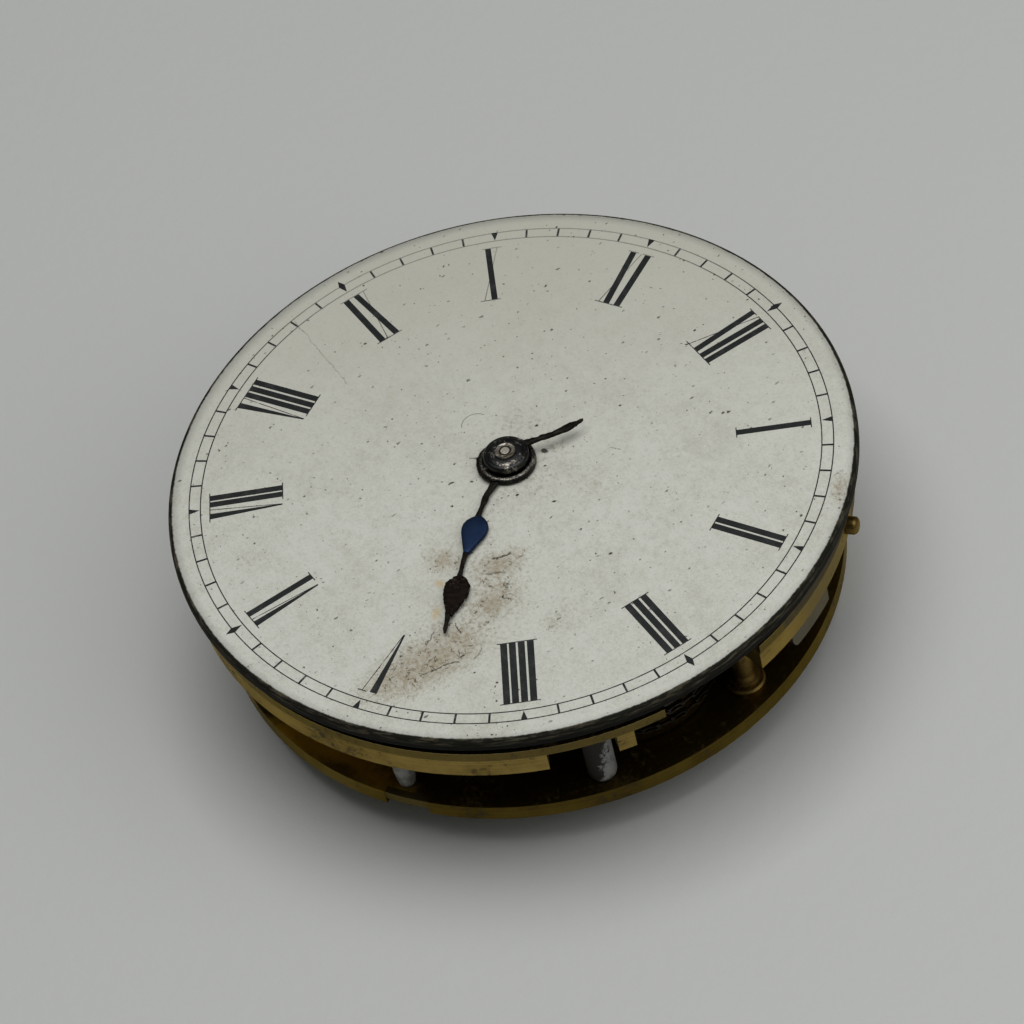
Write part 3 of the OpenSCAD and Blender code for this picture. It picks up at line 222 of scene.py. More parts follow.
# closed ring: (radius, height) points spun about the hand axis
def spinProfile(bm, points, steps):
    verts = [bm.verts.new((r * mm, 0, z * mm)) for r, z in points]
    edges = [bm.edges.new(pair) for pair in zip(verts, verts[1:] + verts[:1])]
    bmesh.ops.spin(bm, geom=verts + edges, cent=(0, 0, 0), axis=(0, 0, 1), angle=math.tau, steps=steps,
                   use_merge=True, use_duplicate=False)
    bmesh.ops.remove_doubles(bm, verts=bm.verts, dist=weld)


# edges whose two ends both pass a test in millimetres
def pickEdges(bm, test):
    return [e for e in bm.edges if all(test(v.co / mm) for v in e.verts)]


def roundEdges(bm, edges, reach, segments=5):
    bmesh.ops.bevel(bm, geom=edges, offset=reach * mm, affect="EDGES", segments=segments, profile=0.5, material=-1)


# camera at the photograph's view
shot = {"lens": 172.55, "sensor": 36, "near": 0.01, "place": (185.569, -75.407, 232.567),
        "right": (0.5325112, 0.8304307, -0.1637577), "up": (-0.5781772, 0.498176, 0.6461671),
        "back": (0.6181771, -0.2494103, 0.7454204)}
lens = bpy.data.cameras.new("photoView")
lens.lens = shot["lens"]
lens.sensor_width = shot["sensor"]
lens.clip_start = shot["near"]
camera = bpy.data.objects.new("photoView", lens)
turn = Matrix((shot["right"], shot["up"], shot["back"])).transposed().to_4x4()
camera.matrix_world = Matrix.Translation(Vector(shot["place"]) * mm) @ turn
scene.collection.objects.link(camera)
scene.camera = camera
print("camera set")

# soft studio light: an even sky, a panel overhead and a weaker one at the side
studio = {"sky": (0.83, 0.85, 0.83), "skyStrength": 0.14,
          "panels": [("topPanel", (-16, 0, 500), (0.36, 0.36), 1.3),
                     ("sidePanel", (150, 110, 200), (0.24, 0.24), 0.18)]}   # name, place, size, power
scene.world = bpy.data.worlds.new("studio")
scene.world.use_nodes = True
sky = scene.world.node_tree.nodes["Background"]
sky.inputs[0].default_value = (*studio["sky"], 1)
sky.inputs[1].default_value = studio["skyStrength"]
for name, place, reach, power in studio["panels"]:
    panel = bpy.data.lights.new(name, "AREA")
    panel.shape = "RECTANGLE"
    panel.size, panel.size_y = reach
    panel.energy = power
    lamp = bpy.data.objects.new(name, panel)
    lamp.location = Vector(place) * mm
    lamp.rotation_euler = (-lamp.location).to_track_quat("-Z", "Y").to_euler()
    scene.collection.objects.link(lamp)
scene.view_settings.view_transform = "Standard"

table = {"reach": 1.6, "colour": (0.60, 0.61, 0.595), "rough": 0.62, "grain": (0.9, 3.0), "bump": (0.12, 0.0004)}
cloth = Paint("paleTable", {"Base Color": table["colour"], "Roughness": table["rough"]})
cloth.bump(cloth.noise(cloth.spot(), *table["grain"]), *table["bump"])
bm = bmesh.new()
bmesh.ops.create_grid(bm, x_segments=2, y_segments=2, size=table["reach"])
mesh = bpy.data.meshes.new("table")
bm.to_mesh(mesh)
bm.free()
mesh.materials.append(cloth.material)
floor = bpy.data.objects.new("table", mesh)
scene.collection.objects.link(floor)
print("stage set")

# worn white enamel with dirt, flaked stains, a grey band and dark edge, and a hairline crack; painted shade darkens it
# towards the far side and blackens its lower edge
dialLook = {"clean": (0.700, 0.705, 0.636), "dull": (0.535, 0.53, 0.455), "smudgeAndShadow": (0.25, 0.215, 0.155),
            "tan": (0.355, 0.300, 0.205), "rust": (0.105, 0.074, 0.042), "yellow": (0.60, 0.46, 0.235),
            "dirt": (0.034, 0.027, 0.019), "edge": (0.010, 0.0095, 0.006), "streak": (0.072, 0.063, 0.042),
            "under": (0.004, 0.0035, 0.0025), "band": (0.21, 0.215, 0.20),
            "bandSpan": (20.35, 21.05), "edgeSpan": (20.87, 20.97), "underShadeSpan": (12.15, 12.42),
            "bandTilt": (0.007, 0.004), "edgeTilt": 0.004, "farTilt": (0.041, 0.024)}
# noises: scale, detail, roughness
dialNoise = {"broad": (0.22, 5.0, 0.6), "mid": (1.1, 5.0, 0.65), "fine": (4.0, 4.0, 0.7), "grain": (10.0, 2.0, 0.6)}
# flaked stains: middle, reach, turn, fullness
dialFlakes = [((9.8, -12.3), (1.15, 2.7), -0.08, 0.85), ((6.4, -4.8), (1.1, 1.7), -0.1, 0.35),
              ((8.4, -6.6), (1.3, 1.8), 0.2, 0.28), ((3.8, -7.1), (1.2, 0.9), 0.5, 0.25),
              ((14.65, 14.3), (1.4, 0.6), -0.79, 0.1), ((9.3, -9.9), (1.1, 1.5), -0.6, 0.4),
              ((12.2, -4.5), (1.8, 2.4), 0.3, -0.6)]
# faint clouds of dirt, the last along the hour hand being dirt and the hand's painted shadow: middle, reach, turn,
# strength
dialClouds = [((8.6, -8.4), (4.4, 6.0), 0.2, 0.50), ((12.2, -3.5), (2.2, 2.4), 0.0, 0.32),
              ((-4.0, -16.3), (1.8, 1.5), 0.4, 0.32), ((0.3, 0.6), (5.2, 4.8), 0.0, 0.55),
              ((-2.4, 2.4), (2.0, 1.5), 0.6, 0.75), ((0.8, 2.9), (0.9, 1.4), -0.2, 0.95),
              ((4.6, 3.4), (3.0, 2.0), 0.8, 0.25), ((2.2, -2.6), (1.6, 2.2), 0.7, 0.5),
              ((5.0, -6.0), (6.0, 2.6), -0.785, 0.42)]
# specks: cells to the millimetre, share of cells with one, largest, stretch, turn
dialSpecks = [(0.55, 0.30, 0.19, 1.6, 0.6), (0.85, 0.28, 0.13, 1.2, 2.1), (1.40, 0.26, 0.085, 1.0, 1.4),
              (2.0, 0.16, 0.06, 1.2, 0.3), (0.45, 0.10, 0.24, 3.2, 2.7)]
# thin marks: from, to, width, strength
dialMarks = [((-19.6, -3.9), (-12.0, -4.1), 0.05, 0.4), ((8.29, -9.18), (9.32, -9.26), 0.045, 1.0),
             ((8.1, -10.4), (8.65, -11.5), 0.07, 0.9), ((11.0, -8.9), (11.5, -9.8), 0.055, 0.8),
             ((8.45, -6.1), (8.95, -5.6), 0.06, 0.9), ((5.7, -4.9), (6.0, -3.6), 0.085, 0.9),
             ((10.4, -12.8), (10.95, -10.4), 0.075, 0.9), ((9.2, -14.4), (9.75, -14.5), 0.07, 0.8),
             ((2.9, 5.6), (3.6, 5.9), 0.04, 0.7), ((-2.1, -1.5), (-1.6, -1.1), 0.07, 0.8),
             ((10.95, -10.4), (10.2, -10.1), 0.06, 0.8), ((6.1, -6.1), (7.1, -4.6), 0.06, 0.6)]
# yellow spots and one dark blot: middle, reach, turn, softness
dialYellows = [((5.25, -8.25), (0.55, 0.42), 0.5, 0.9), ((7.0, -9.65), (0.75, 0.42), -0.7, 0.9)]
dialBlot = ((0.55, 2.28), (0.3, 0.22), 0.4, 0.5)
# fibre curled on the dial
hairMark = {"middle": (-4.07, 0.215), "radius": 0.883, "from": -4.42, "width": (0.012, 0.04)}


def makeEnamel():
    paint = Paint("wornEnamel", {"Specular IOR Level": 0.12})
    at = paint.spot()
    x, y, z = paint.split(at)
    radius = paint.around(x, y)
    broad, mid, fine, grain = (paint.noise(at, *dialNoise[key]) for key in ("broad", "mid", "fine", "grain"))
    mottle = (broad * 0.25 + mid * 0.3 + fine * 0.3 + grain * 0.3).rise(0.47, 0.76)
    colour = paint.blend(mottle, dialLook["clean"], dialLook["dull"])
    # painted shade: the enamel darkened towards the far side, about IX to XI
    tilt = dialLook["farTilt"]
    colour = paint.blend((y * tilt[1] - x * tilt[0]).rise(-0.3, 1.0) * 0.85, colour, dialLook["dull"])
    tilt = dialLook["bandTilt"]
    band = (radius - y * tilt[1] - x * tilt[0]).rise(*dialLook["bandSpan"])
    colour = paint.blend(band * 0.45, colour, dialLook["band"])

    # clouds of dirt and the hour hand's painted shadow, flaked stains with torn edges, yellow spots
    cloud = paint.gather([paint.patch(x, y, mid, a, b, c, 0.9) * d for a, b, c, d in dialClouds])
    cloud = cloud * (0.12 + fine.rise(0.46, 0.66) * 0.6) + fine.rise(0.55, 0.75) * 0.10
    colour = paint.blend(cloud.least(1.0), colour, dialLook["smudgeAndShadow"])
    flake = paint.gather([(1 - paint.oval(x, y, mid, a, b, c)) + d for a, b, c, d in dialFlakes])
    body = (flake + (fine - 0.5) * 1.4 + (grain - 0.5) * 0.5).rise(-0.15, 1.25)
    colour = paint.blend(body * (0.58 + fine.rise(0.40, 0.68) * 0.34), colour, dialLook["tan"])
    torn = paint.noise(at, 1.4, 3.0, 0.55, 0.7)
    vein = (1 - (torn - 0.5).size().rise(0.004, 0.024)) * paint.noise(at, 1.9, 2.0).rise(0.50, 0.60)
    lines = vein * flake.rise(-0.1, 0.5)
    lines = lines.most(flake.rise(0.0, 0.8) * grain.rise(0.60, 0.72) * 0.28)
    colour = paint.blend(lines * 0.85, colour, dialLook["rust"])
    colour = paint.blend(flake.rise(0.0, 0.7) * torn.rise(0.52, 0.56) * 0.22, colour, dialLook["clean"])
    yellow = paint.gather([paint.patch(x, y, fine, *spec) for spec in dialYellows])
    colour = paint.blend(yellow * (0.35 + fine.rise(0.36, 0.60) * 0.65), colour, dialLook["yellow"])

    # specks, thin marks and a fibre
    wobble = paint.shift(paint.shift(at, mid.also(1), 0.5), fine.also(1), 0.2)
    crowd = broad.rise(0.34, 0.62) * 0.6 + 0.5 + (1 - radius.rise(3.0, 9.0)) * 0.4
    specks = paint.gather([paint.dots(wobble, *spec) for spec in dialSpecks]) * crowd
    specks = specks.most(paint.patch(x, y, fine, *dialBlot))
    bent = mid * 1.2 + fine * 0.5 - 0.35
    marks = paint.gather([paint.streak(x, y, bent, a, b, w) * d for a, b, w, d in dialMarks])
    specks = specks.most(marks * (0.45 + fine.rise(0.35, 0.55) * 0.55))
    hairReach = paint.around(x - hairMark["middle"][0], y - hairMark["middle"][1])
    hair = 1 - (hairReach - hairMark["radius"]).size().rise(*hairMark["width"])
    specks = specks.most(hair * x.below(hairMark["from"]) * 0.75)
    colour = paint.blend((specks * 0.92).least(1.0), colour, dialLook["dirt"])

    # dark streaky edge, black painted shade below
    ragged = (mid - 0.5) * 0.14 + (fine - 0.5) * 0.10
    edge = (radius - y * dialLook["edgeTilt"] + ragged).rise(*dialLook["edgeSpan"])
    # painted shade: the dial's lower part blackened where it lies in shadow
    under = 1 - z.rise(*dialLook["underShadeSpan"])
    rubbed = paint.noise(paint.join(x * 0.7, y * 0.7, z * 8.0), 1.0, 4.0, 0.65)
    colour = paint.blend(edge, colour, paint.blend(rubbed.rise(0.46, 0.66), dialLook["edge"], dialLook["streak"]))
    paint.feed("Base Color", paint.blend(under, colour, dialLook["under"]))
    paint.feed("Roughness", (0.36 + mid * 0.2 + body * 0.3 + edge * 0.3).least(0.95))
    relief = torn.rise(0.47, 0.53) * flake.rise(-0.1, 0.5) * 0.8
    paint.bump(fine * 0.4 + mid - lines * 0.9 + relief, 0.26, 0.0002)
    return paint


enamel = makeEnamel()

# black print of the dial, worn thin in places; the fine lines are paler near X, the ticks less so
inkLook = {"black": (0.010, 0.012, 0.012), "grey": (0.10, 0.10, 0.095), "farTilt": (0.043, 0.025),
           "tickFrom": (19.11, 19.14), "tickTo": (19.71, 19.74)}


def makeInk(name, worn):
    paint = Paint(name, {"Base Color": inkLook["black"], "Roughness": 0.5, "Specular IOR Level": 0.3})
    at = paint.spot()
    wear = paint.noise(at, 1.3, 5.0, 0.7)
    paint.feed("Base Color", paint.blend(wear.rise(0.45, 0.75) * (0.25 + worn), inkLook["black"], inkLook["grey"]))
    if worn:
        x, y = paint.split(at)[:2]
        radius = paint.around(x, y)
        tick = radius.rise(*inkLook["tickFrom"]) * (1 - radius.rise(*inkLook["tickTo"]))
        tilt = inkLook["farTilt"]
        far = (y * tilt[1] - x * tilt[0]).rise(0.30, 0.90) * (0.72 - tick * 0.5)
        paint.feed("Alpha", 1 - (wear.rise(0.42, 0.72) * worn).most(far))
    return paint


ink = makeInk("numeralInk", 0.0)
faintInk = makeInk("fineLineInk", 0.42)
hairInk = makeInk("hairStrokeInk", 0.85)

# lathe-turned gilt brass, dulled and browned, one copy darkened all over as painted shade: light tint, worn tint, grime
# and painted shade
brassLook = {"gilt": ((0.310, 0.220, 0.066), (0.190, 0.133, 0.038), (0.045, 0.033, 0.013)),
             "shaded": ((0.126, 0.086, 0.018), (0.072, 0.048, 0.010), (0.022, 0.015, 0.006)),
             "deep": ((0.070, 0.047, 0.012), (0.036, 0.024, 0.007), (0.016, 0.011, 0.005)),
             "turned": ((0.200, 0.134, 0.040), (0.100, 0.064, 0.018), (0.026, 0.017, 0.007)),
             "pale": ((0.44, 0.32, 0.11), (0.27, 0.195, 0.065), (0.07, 0.05, 0.020)),
             "bare": ((0.125, 0.120, 0.108), (0.090, 0.085, 0.073), (0.035, 0.030, 0.022)),
             "chipped": ((0.128, 0.098, 0.038), (0.078, 0.060, 0.026), (0.024, 0.020, 0.012))}
edgeTint = (0.88, 0.77, 0.52)   # tint of the gloss at flat angles
# darker strip above the rim's step, under the dial: low, high, tint, strength
plateBands = [(10.29, 10.37, (0.098, 0.073, 0.026), 0.85)]
# lighter lines on the rim's corners, edge wear and painted highlight: height, width, tint, strength
plateCornerWearAndHighlight = [(10.345, 0.05, (0.42, 0.315, 0.105), 0.5), (11.04, 0.05, (0.36, 0.28, 0.12), 0.55)]
# tinted patches: hour, radius, reach out and along the rim, tint, strength, lowest height
plateSpots = [(1.9, 20.6, (1.6, 5.0), (0.165, 0.130, 0.066), 0.85, 0.0)]
topSpots = [(5.5, 18.8, (3.4, 8.0), (0.80, 0.52, 0.075), 1.0, 4.225),
            (5.35, 19.5, (0.9, 3.2), (0.185, 0.130, 0.036), 0.85, 0.0)]
# painted shade patches, under the dial's overhang and on the rim's dark band: hour, radius, reach out and along the
# rim, strength, lowest height
plateShadePatches = [(1.6, 20.3, (3.5, 10.0), 1.0, 10.42), (6.9, 20.3, (3.0, 6.5), 0.7, 10.45),
             (1.15, 20.3, (3.5, 4.2), 0.85, 0.0)]
# curled cuts on the cock's lower face
carving = {"scale": 0.36, "bend": 3.0, "rings": 5, "cut": (0.05, 0.17), "depth": 4}


def makeBrass(name, tints, rough, bands=(), lines=(), shadePatches=(), spots=(), carved=0.0):
    paint = Paint(name, {"Specular Tint": (*edgeTint, 1)})
    at = paint.spot()
    x, y, z = paint.split(at)
    lathe = paint.noise(paint.join(paint.around(x, y) * 5.0, 0.0, z * 9.0), 1.0, 2.0)
    cloud = paint.noise(at, 0.35, 5.0, 0.62)
    fine = paint.noise(at, 2.6, 4.0, 0.7)

    def rimPatch(hour, radius, reach, soft):
        turned = round(math.radians(90 - 30 * hour), 2)
        return paint.patch(x, y, cloud, hourSpot(hour, radius), reach, turned, soft)

    colour = paint.blend((cloud * 0.7 + lathe * 0.35).rise(0.40, 0.70), tints[0], tints[1])
    for low, high, tint, strength in bands:
        colour = paint.blend(z.rise(low, high) * (strength + (fine - 0.5) * 0.5), colour, tint)
    # lighter lines along the corners: edge wear and painted highlight
    for height, width, tint, strength in lines:
        line = 1 - (z - height).size().rise(width * 0.4, width)
        colour = paint.blend(line * fine.rise(0.35, 0.6) * strength, colour, tint)
    for hour, radius, reach, tint, strength, low in spots:
        share = rimPatch(hour, radius, reach, 0.8) * z.rise(low - 0.02, low)
        colour = paint.blend(share * strength, colour, tint)
    grimeAndShade = (fine * 0.6 + cloud * 0.5).rise(0.59, 0.73)
    # painted shade: darker patches under the dial and on the rim, joined with the grime
    for hour, radius, reach, strength, low in shadePatches:
        grimeAndShade = grimeAndShade.most(rimPatch(hour, radius, reach, 0.5) * z.rise(low - 0.08, low) * strength)
    height = lathe * 0.6 + fine * 0.5
    if carved:
        bent = paint.shift(at, cloud.also(1), carving["bend"])
        curls = paint.node("ShaderNodeTexVoronoi", {"voronoi_dimensions": "2D"},
                           {"Vector": bent, "Scale": carving["scale"]})
        cut = 1 - (curls * carving["rings"]).calc("PINGPONG", 0.5).rise(*carving["cut"])
        cut = cut * (1 - z.rise(carved, carved * 2))
        grimeAndShade = grimeAndShade.most(cut * 0.8)
        height = height - cut * carving["depth"]
    paint.feed("Base Color", paint.blend(grimeAndShade * 0.85, colour, tints[2]))
    paint.feed("Metallic", 1 - grimeAndShade * 0.85)
    paint.feed("Roughness", (rough + cloud * 0.22 + grimeAndShade * 0.4 - 0.1).least(0.95))
    paint.bump(height, 0.12, 0.0001)
    return paint


gilt = makeBrass("wornGilding", brassLook["gilt"], 0.36)
plateGilt = makeBrass("plateGilding", brassLook["gilt"], 0.38, plateBands, plateCornerWearAndHighlight, plateShadePatches, plateSpots)
# painted shade: the top plate's gilding, a copy darkened all over where the plate lies in shadow, with tinted patches
shadedGilt = makeBrass("shadedGilding", brassLook["shaded"], 0.40, spots=topSpots)
deepBrown = makeBrass("sootedBrass", brassLook["deep"], 0.45)
turnedBrass = makeBrass("turnedBrass", brassLook["turned"], 0.38)
carvedGilt = makeBrass("carvedGilding", brassLook["gilt"], 0.36, carved=0.04)
wheelBrass = makeBrass("agedBrass", brassLook["pale"], 0.3)
bareLug = makeBrass("bareLug", brassLook["bare"], 0.42)
chippedBrass = makeBrass("chippedBrass", brassLook["chipped"], 0.5)

# whitened pillars, the thicker one with brown dirt on one side
pillarLook = {"white": (0.27, 0.266, 0.255), "grey": (0.125, 0.121, 0.113), "brown": (0.020, 0.014, 0.010),
              "dirty": hourSpot(3.63, 18.0), "way": (0.40, 0.92), "middle": 6.6, "foot": (4.2, 4.5)}


def makePillar():
    paint = Paint("whitenedPillar", {"Metallic": 0.0, "Specular IOR Level": 0.35})
    at = paint.spot()
    x, y, z = paint.split(at)
    cloud = paint.noise(at, 0.8, 4.0, 0.6)
    fine = paint.noise(at, 2.6, 5.0, 0.7)
    colour = paint.blend((cloud * 0.5 + fine * 0.5).rise(0.42, 0.62), pillarLook["white"], pillarLook["grey"])
    middle, way = pillarLook["dirty"], pillarLook["way"]
    across = (x - middle.x) * way[0] + (y - middle.y) * way[1]
    near = 1 - across.size().rise(1.0, 1.2)
    dirt = ((0.32 - across) * 1.2 + (z - pillarLook["middle"]) * 0.22 + (fine - 0.5) * 3.2).rise(-0.15, 0.25) * near
    dirt = dirt.most((fine * 0.6 + cloud * 0.4).rise(0.58, 0.66) * 0.85).most(1 - z.rise(*pillarLook["foot"]))
    paint.feed("Base Color", paint.blend(dirt, colour, pillarLook["brown"]))
    paint.feed("Roughness", (0.45 + dirt * 0.3).least(0.95))
    paint.bump(fine - dirt * 0.4, 0.3, 0.0001)
    return paint


pillarGrey = makePillar()

# steels: two tints, share of rust, roughness, grain
steelRust = (0.050, 0.028, 0.017)
steelLook = {"dullSteel": ((0.42, 0.42, 0.41), (0.16, 0.155, 0.145), 0.1, 0.3, 1.4),
             "bluedSteel": ((0.020, 0.037, 0.086), (0.016, 0.029, 0.066), 0.06, 0.48, 1.4),
             "rustedSteel": ((0.022, 0.016, 0.013), (0.011, 0.009, 0.008), 0.30, 0.6, 2.2),
             "blackRust": ((0.026, 0.023, 0.018), (0.012, 0.011, 0.009), 0.16, 0.5, 2.2),
             "blackenedSteel": ((0.060, 0.060, 0.056), (0.020, 0.020, 0.019), 0.10, 0.33, 2.0),
             "chainSteel": ((0.10, 0.097, 0.09), (0.014, 0.013, 0.011), 0.2, 0.32, 2.6)}


def makeSteel(name, first, second, rustShare, rough, grain):
    paint = Paint(name, {})
    at = paint.spot()
    cloud = paint.noise(at, 0.7 * grain, 5.0, 0.65)
    fine = paint.noise(at, 5.0 * grain, 4.0, 0.7)
    rust = (cloud * 0.6 + fine * 0.5).rise(0.74 - rustShare * 0.5, 0.86 - rustShare * 0.5)
    colour = paint.blend(cloud.rise(0.38, 0.66), first, second)
    paint.feed("Base Color", paint.blend(rust, colour, steelRust))
    paint.feed("Metallic", 1 - rust * 0.9)
    paint.feed("Roughness", (rough + rust * 0.5 + cloud * 0.12).least(0.95))
    paint.bump(fine * rust + cloud * 0.3, 0.25, 0.0001)
    return paint


steels = [makeSteel(name, *look) for name, look in steelLook.items()]
steel, blued, rusted, blackRust, blackSteel, chainSteel = steels

# worn bosses: dark, with rubbed bronze patches and fine scratches; the minute boss with a pale ring about the square,
# wear and painted highlight; the hour boss with a painted highlight along the lip and painted black shade on its side
# below
bossLook = {"dark": (0.034, 0.034, 0.034), "black": (0.008, 0.008, 0.008), "bronze": (0.30, 0.275, 0.235),
            "pale": (0.44, 0.40, 0.33), "ring": (0.56, 0.09), "lip": 13.35, "lipFrom": (1.5, 1.6)}


def makeBoss(name, ringed):
    paint = Paint(name, {"Metallic": 1.0})
    at = paint.spot()
    x, y, z = paint.split(at)
    radius = paint.around(x, y)
    cloud = paint.noise(at, 1.7, 4.0, 0.65, 0.6)
    fine = paint.noise(at, 6.0, 4.0, 0.7)
    scratch = paint.noise(paint.join(x * 9.0 + y * 4.0, y * 1.5, z * 3.0), 1.0, 2.0)
    rubbed = (cloud * 0.75 + fine * 0.3).rise(0.56, 0.64)
    colour = paint.blend(rubbed * 0.75, bossLook["dark"], bossLook["bronze"])
    if ringed:
        # pale ring about the square: wear and painted highlight
        spot, width = bossLook["ring"]
        ring = (1 - (radius - spot).size().rise(width * 0.3, width)) * fine.rise(0.34, 0.52)
        colour = paint.blend(ring * 0.8, colour, bossLook["pale"])
    else:
        # painted highlight along the lip, and painted black shade on the side below it
        lip = bossLook["lip"]
        rim = z.rise(lip - 0.03, lip) * radius.rise(*bossLook["lipFrom"])
        colour = paint.blend(rim * fine.rise(0.42, 0.62) * 0.4, colour, bossLook["pale"])
        side = 1 - z.rise(lip - 0.10, lip - 0.02)
        colour = paint.blend(side * 0.85, colour, bossLook["black"])
    paint.feed("Base Color", colour)
    paint.feed("Roughness", (0.14 + cloud * 0.22 + (1 - rubbed) * 0.06).least(0.9))
    paint.bump(scratch * 0.5 + fine * 0.5 + rubbed * 0.3, 0.3, 0.0001)
    return paint


minuteBossSteel = makeBoss("minuteBossSteel", True)
hourBossSteel = makeBoss("hourBossSteel", False)

# end of the setting square: bright core in a dark groove
squareLook = {"core": (0.50, 0.46, 0.39), "groove": (0.030, 0.028, 0.024), "shoulder": (0.26, 0.235, 0.19),
              "grooveFrom": (0.24, 0.30), "grooveTo": (0.36, 0.42)}


def makeSquare():
    paint = Paint("wornSquare", {"Metallic": 1.0})
    at = paint.spot()
    x, y = paint.split(at)[:2]
    fine = paint.noise(at, 5.0, 4.0, 0.7)
    radius = paint.around(x, y) + (fine - 0.5) * 0.12
    down, up = radius.rise(*squareLook["grooveFrom"]), radius.rise(*squareLook["grooveTo"])
    colour = paint.blend(down, squareLook["core"], squareLook["groove"])
    paint.feed("Base Color", paint.blend(up * (0.45 + fine * 0.9), colour, squareLook["shoulder"]))
    paint.feed("Roughness", 0.3 + fine * 0.3)
    paint.bump(fine - down + up, 0.3, 0.0001)
    return paint


wornSquare = makeSquare()

rubyLook = {"deep": (0.24, 0.015, 0.022), "light": (0.40, 0.05, 0.06)}
ruby = Paint("garnetStone", {"Roughness": 0.12, "IOR": 1.75, "Coat Weight": 0.3})
ruby.feed("Base Color", ruby.blend(ruby.noise(ruby.spot(), 1.2, 3.0), rubyLook["deep"], rubyLook["light"]))

# every solid takes its slot's finish, and some take one of their own
slotPaint = {"enamel": enamel, "blued_steel": blued, "rusted_steel": rusted, "gilt_brass": gilt, "brass": wheelBrass,
             "tarnished_brass": pillarGrey, "steel": steel, "ruby": ruby}
nodePaint = {"pillar_plate": plateGilt, "top_plate": shadedGilt, "barrel": deepBrown, "turned_pillars": turnedBrass,
             "cannon_pinion": blackSteel, "centre_arbor": wornSquare, "balance_cock": carvedGilt}
for part in frame["record"]["subparts"]:
    mesh = frame["nodes"][part["node"]].data
    paint = nodePaint.get(part["node"], slotPaint[part["material_slot"]])
    if not mesh.materials:
        mesh.materials.append(None)
    for i in range(len(mesh.materials)):
        mesh.materials[i] = paint.material
print("finishes made")

# dial print: minute ring, hour marks and radial numerals, as thin raised ink
dial = {"top": 12.71, "dome": 0.15, "radius": 21.0, "raise": 0.012, "sink": 0.03,
        "ring": (19.07, 19.78), "ringSteps": 240, "line": 0.07, "tick": 0.13,
        "mark": 0.21, "wedge": (0.06, 0.02), "diamond": (0.08, 0.5), "feet": 13.97, "heads": 18.45, "bar": 0.41,
        "serif": 0.06, "overhang": 0.2, "slantOverhang": 0.45, "hair": 0.05}
# straight strokes of each numeral: places across its hour's line
barPlaces = {1: [0.06], 2: [-0.33, 0.2], 3: [-0.58, -0.03, 0.53], 4: [-0.64, -0.1, 0.435, 0.95], 6: [0.42],
             7: [0.31, 0.83], 8: [-0.23, 0.31, 0.86], 9: [-0.485], 11: [0.405], 12: [0.40, 0.98]}
# slanting strokes: place at the head, place at the foot, width at the head, width at the foot
slantPlaces = {5: (-0.48, -0.22, 0.45, 0.08), 6: (-0.48, -0.40, 0.43, 0.08), 7: (-0.64, -0.51, 0.43, 0.08),
               8: (-1.19, -0.88, 0.43, 0.08), 9: (0.26, 0.54, 0.37, 0.40), 10: (-0.48, -0.23, 0.36, 0.38),
               11: (-0.61, -0.32, 0.38, 0.40), 12: (-0.52, -0.24, 0.38, 0.40)}
# hair strokes: place at the head, place at the foot; then half widths of the serifs beside them
hairPlaces = {5: (0.25, -0.18), 6: (-0.05, -0.37), 7: (-0.1, -0.48), 8: (-0.55, -0.85), 9: (0.8, -0.12),
              10: (0.1, -0.85), 11: (-0.06, -0.83), 12: (0.03, -0.93)}
hairSerifs = {"foot": 0.27, "slantFoot": 0.38, "slantHead": 0.36, "head": 0.3}


def dialHeight(r):
    return dial["top"] + dial["dome"] * (1 - (r / dial["radius"]) ** 2) + dial["raise"]


# flat ink shape: points are (across, out) from the line of an hour
def inkShape(bm, hour, points):
    outward = hourSpot(hour, 1.0)
    across = hourSpot(hour + 3, 1.0)
    verts = []
    for u, r in points:
        flat = outward * r + across * u
        verts.append(bm.verts.new((flat.x * mm, flat.y * mm, dialHeight(flat.length) * mm)))
    bm.faces.new(verts)


def inkStroke(bm, hour, head, foot, headW, footW):
    a, b = dial["feet"], dial["heads"]
    inkShape(bm, hour, [(foot - footW / 2, a), (foot + footW / 2, a), (head + headW / 2, b), (head - headW / 2, b)])


def inkBox(bm, hour, u0, u1, r0, r1):
    inkShape(bm, hour, [(u0, r0), (u1, r0), (u1, r1), (u0, r1)])


# thin line across the feet or the heads of a numeral
def footSerif(bm, hour, u0, u1):
    inkBox(bm, hour, u0, u1, dial["feet"] - dial["serif"], dial["feet"])


def headSerif(bm, hour, u0, u1):
    inkBox(bm, hour, u0, u1, dial["heads"], dial["heads"] + dial["serif"])


bm = bmesh.new()
for hour, places in barPlaces.items():
    for u in places:
        inkStroke(bm, hour, u, u, dial["bar"], dial["bar"])
for hour, place in slantPlaces.items():
    inkStroke(bm, hour, *place)
(inner, outer), mark, wedge, diamond = (dial[key] for key in ("ring", "mark", "wedge", "diamond"))
for hour in range(1, 13):
    if hour % 3:
        inkShape(bm, hour, [(0, inner + wedge[0]), (mark, outer + wedge[1]), (-mark, outer + wedge[1])])
    else:
        inkShape(bm, hour, [(0, inner + diamond[0]), (mark, outer), (0, outer + diamond[1]), (-mark, outer)])
sinkFaces(bm, list(bm.faces), dial["sink"] * mm)
finishPiece("dialNumerals", bm, "frame", ink)

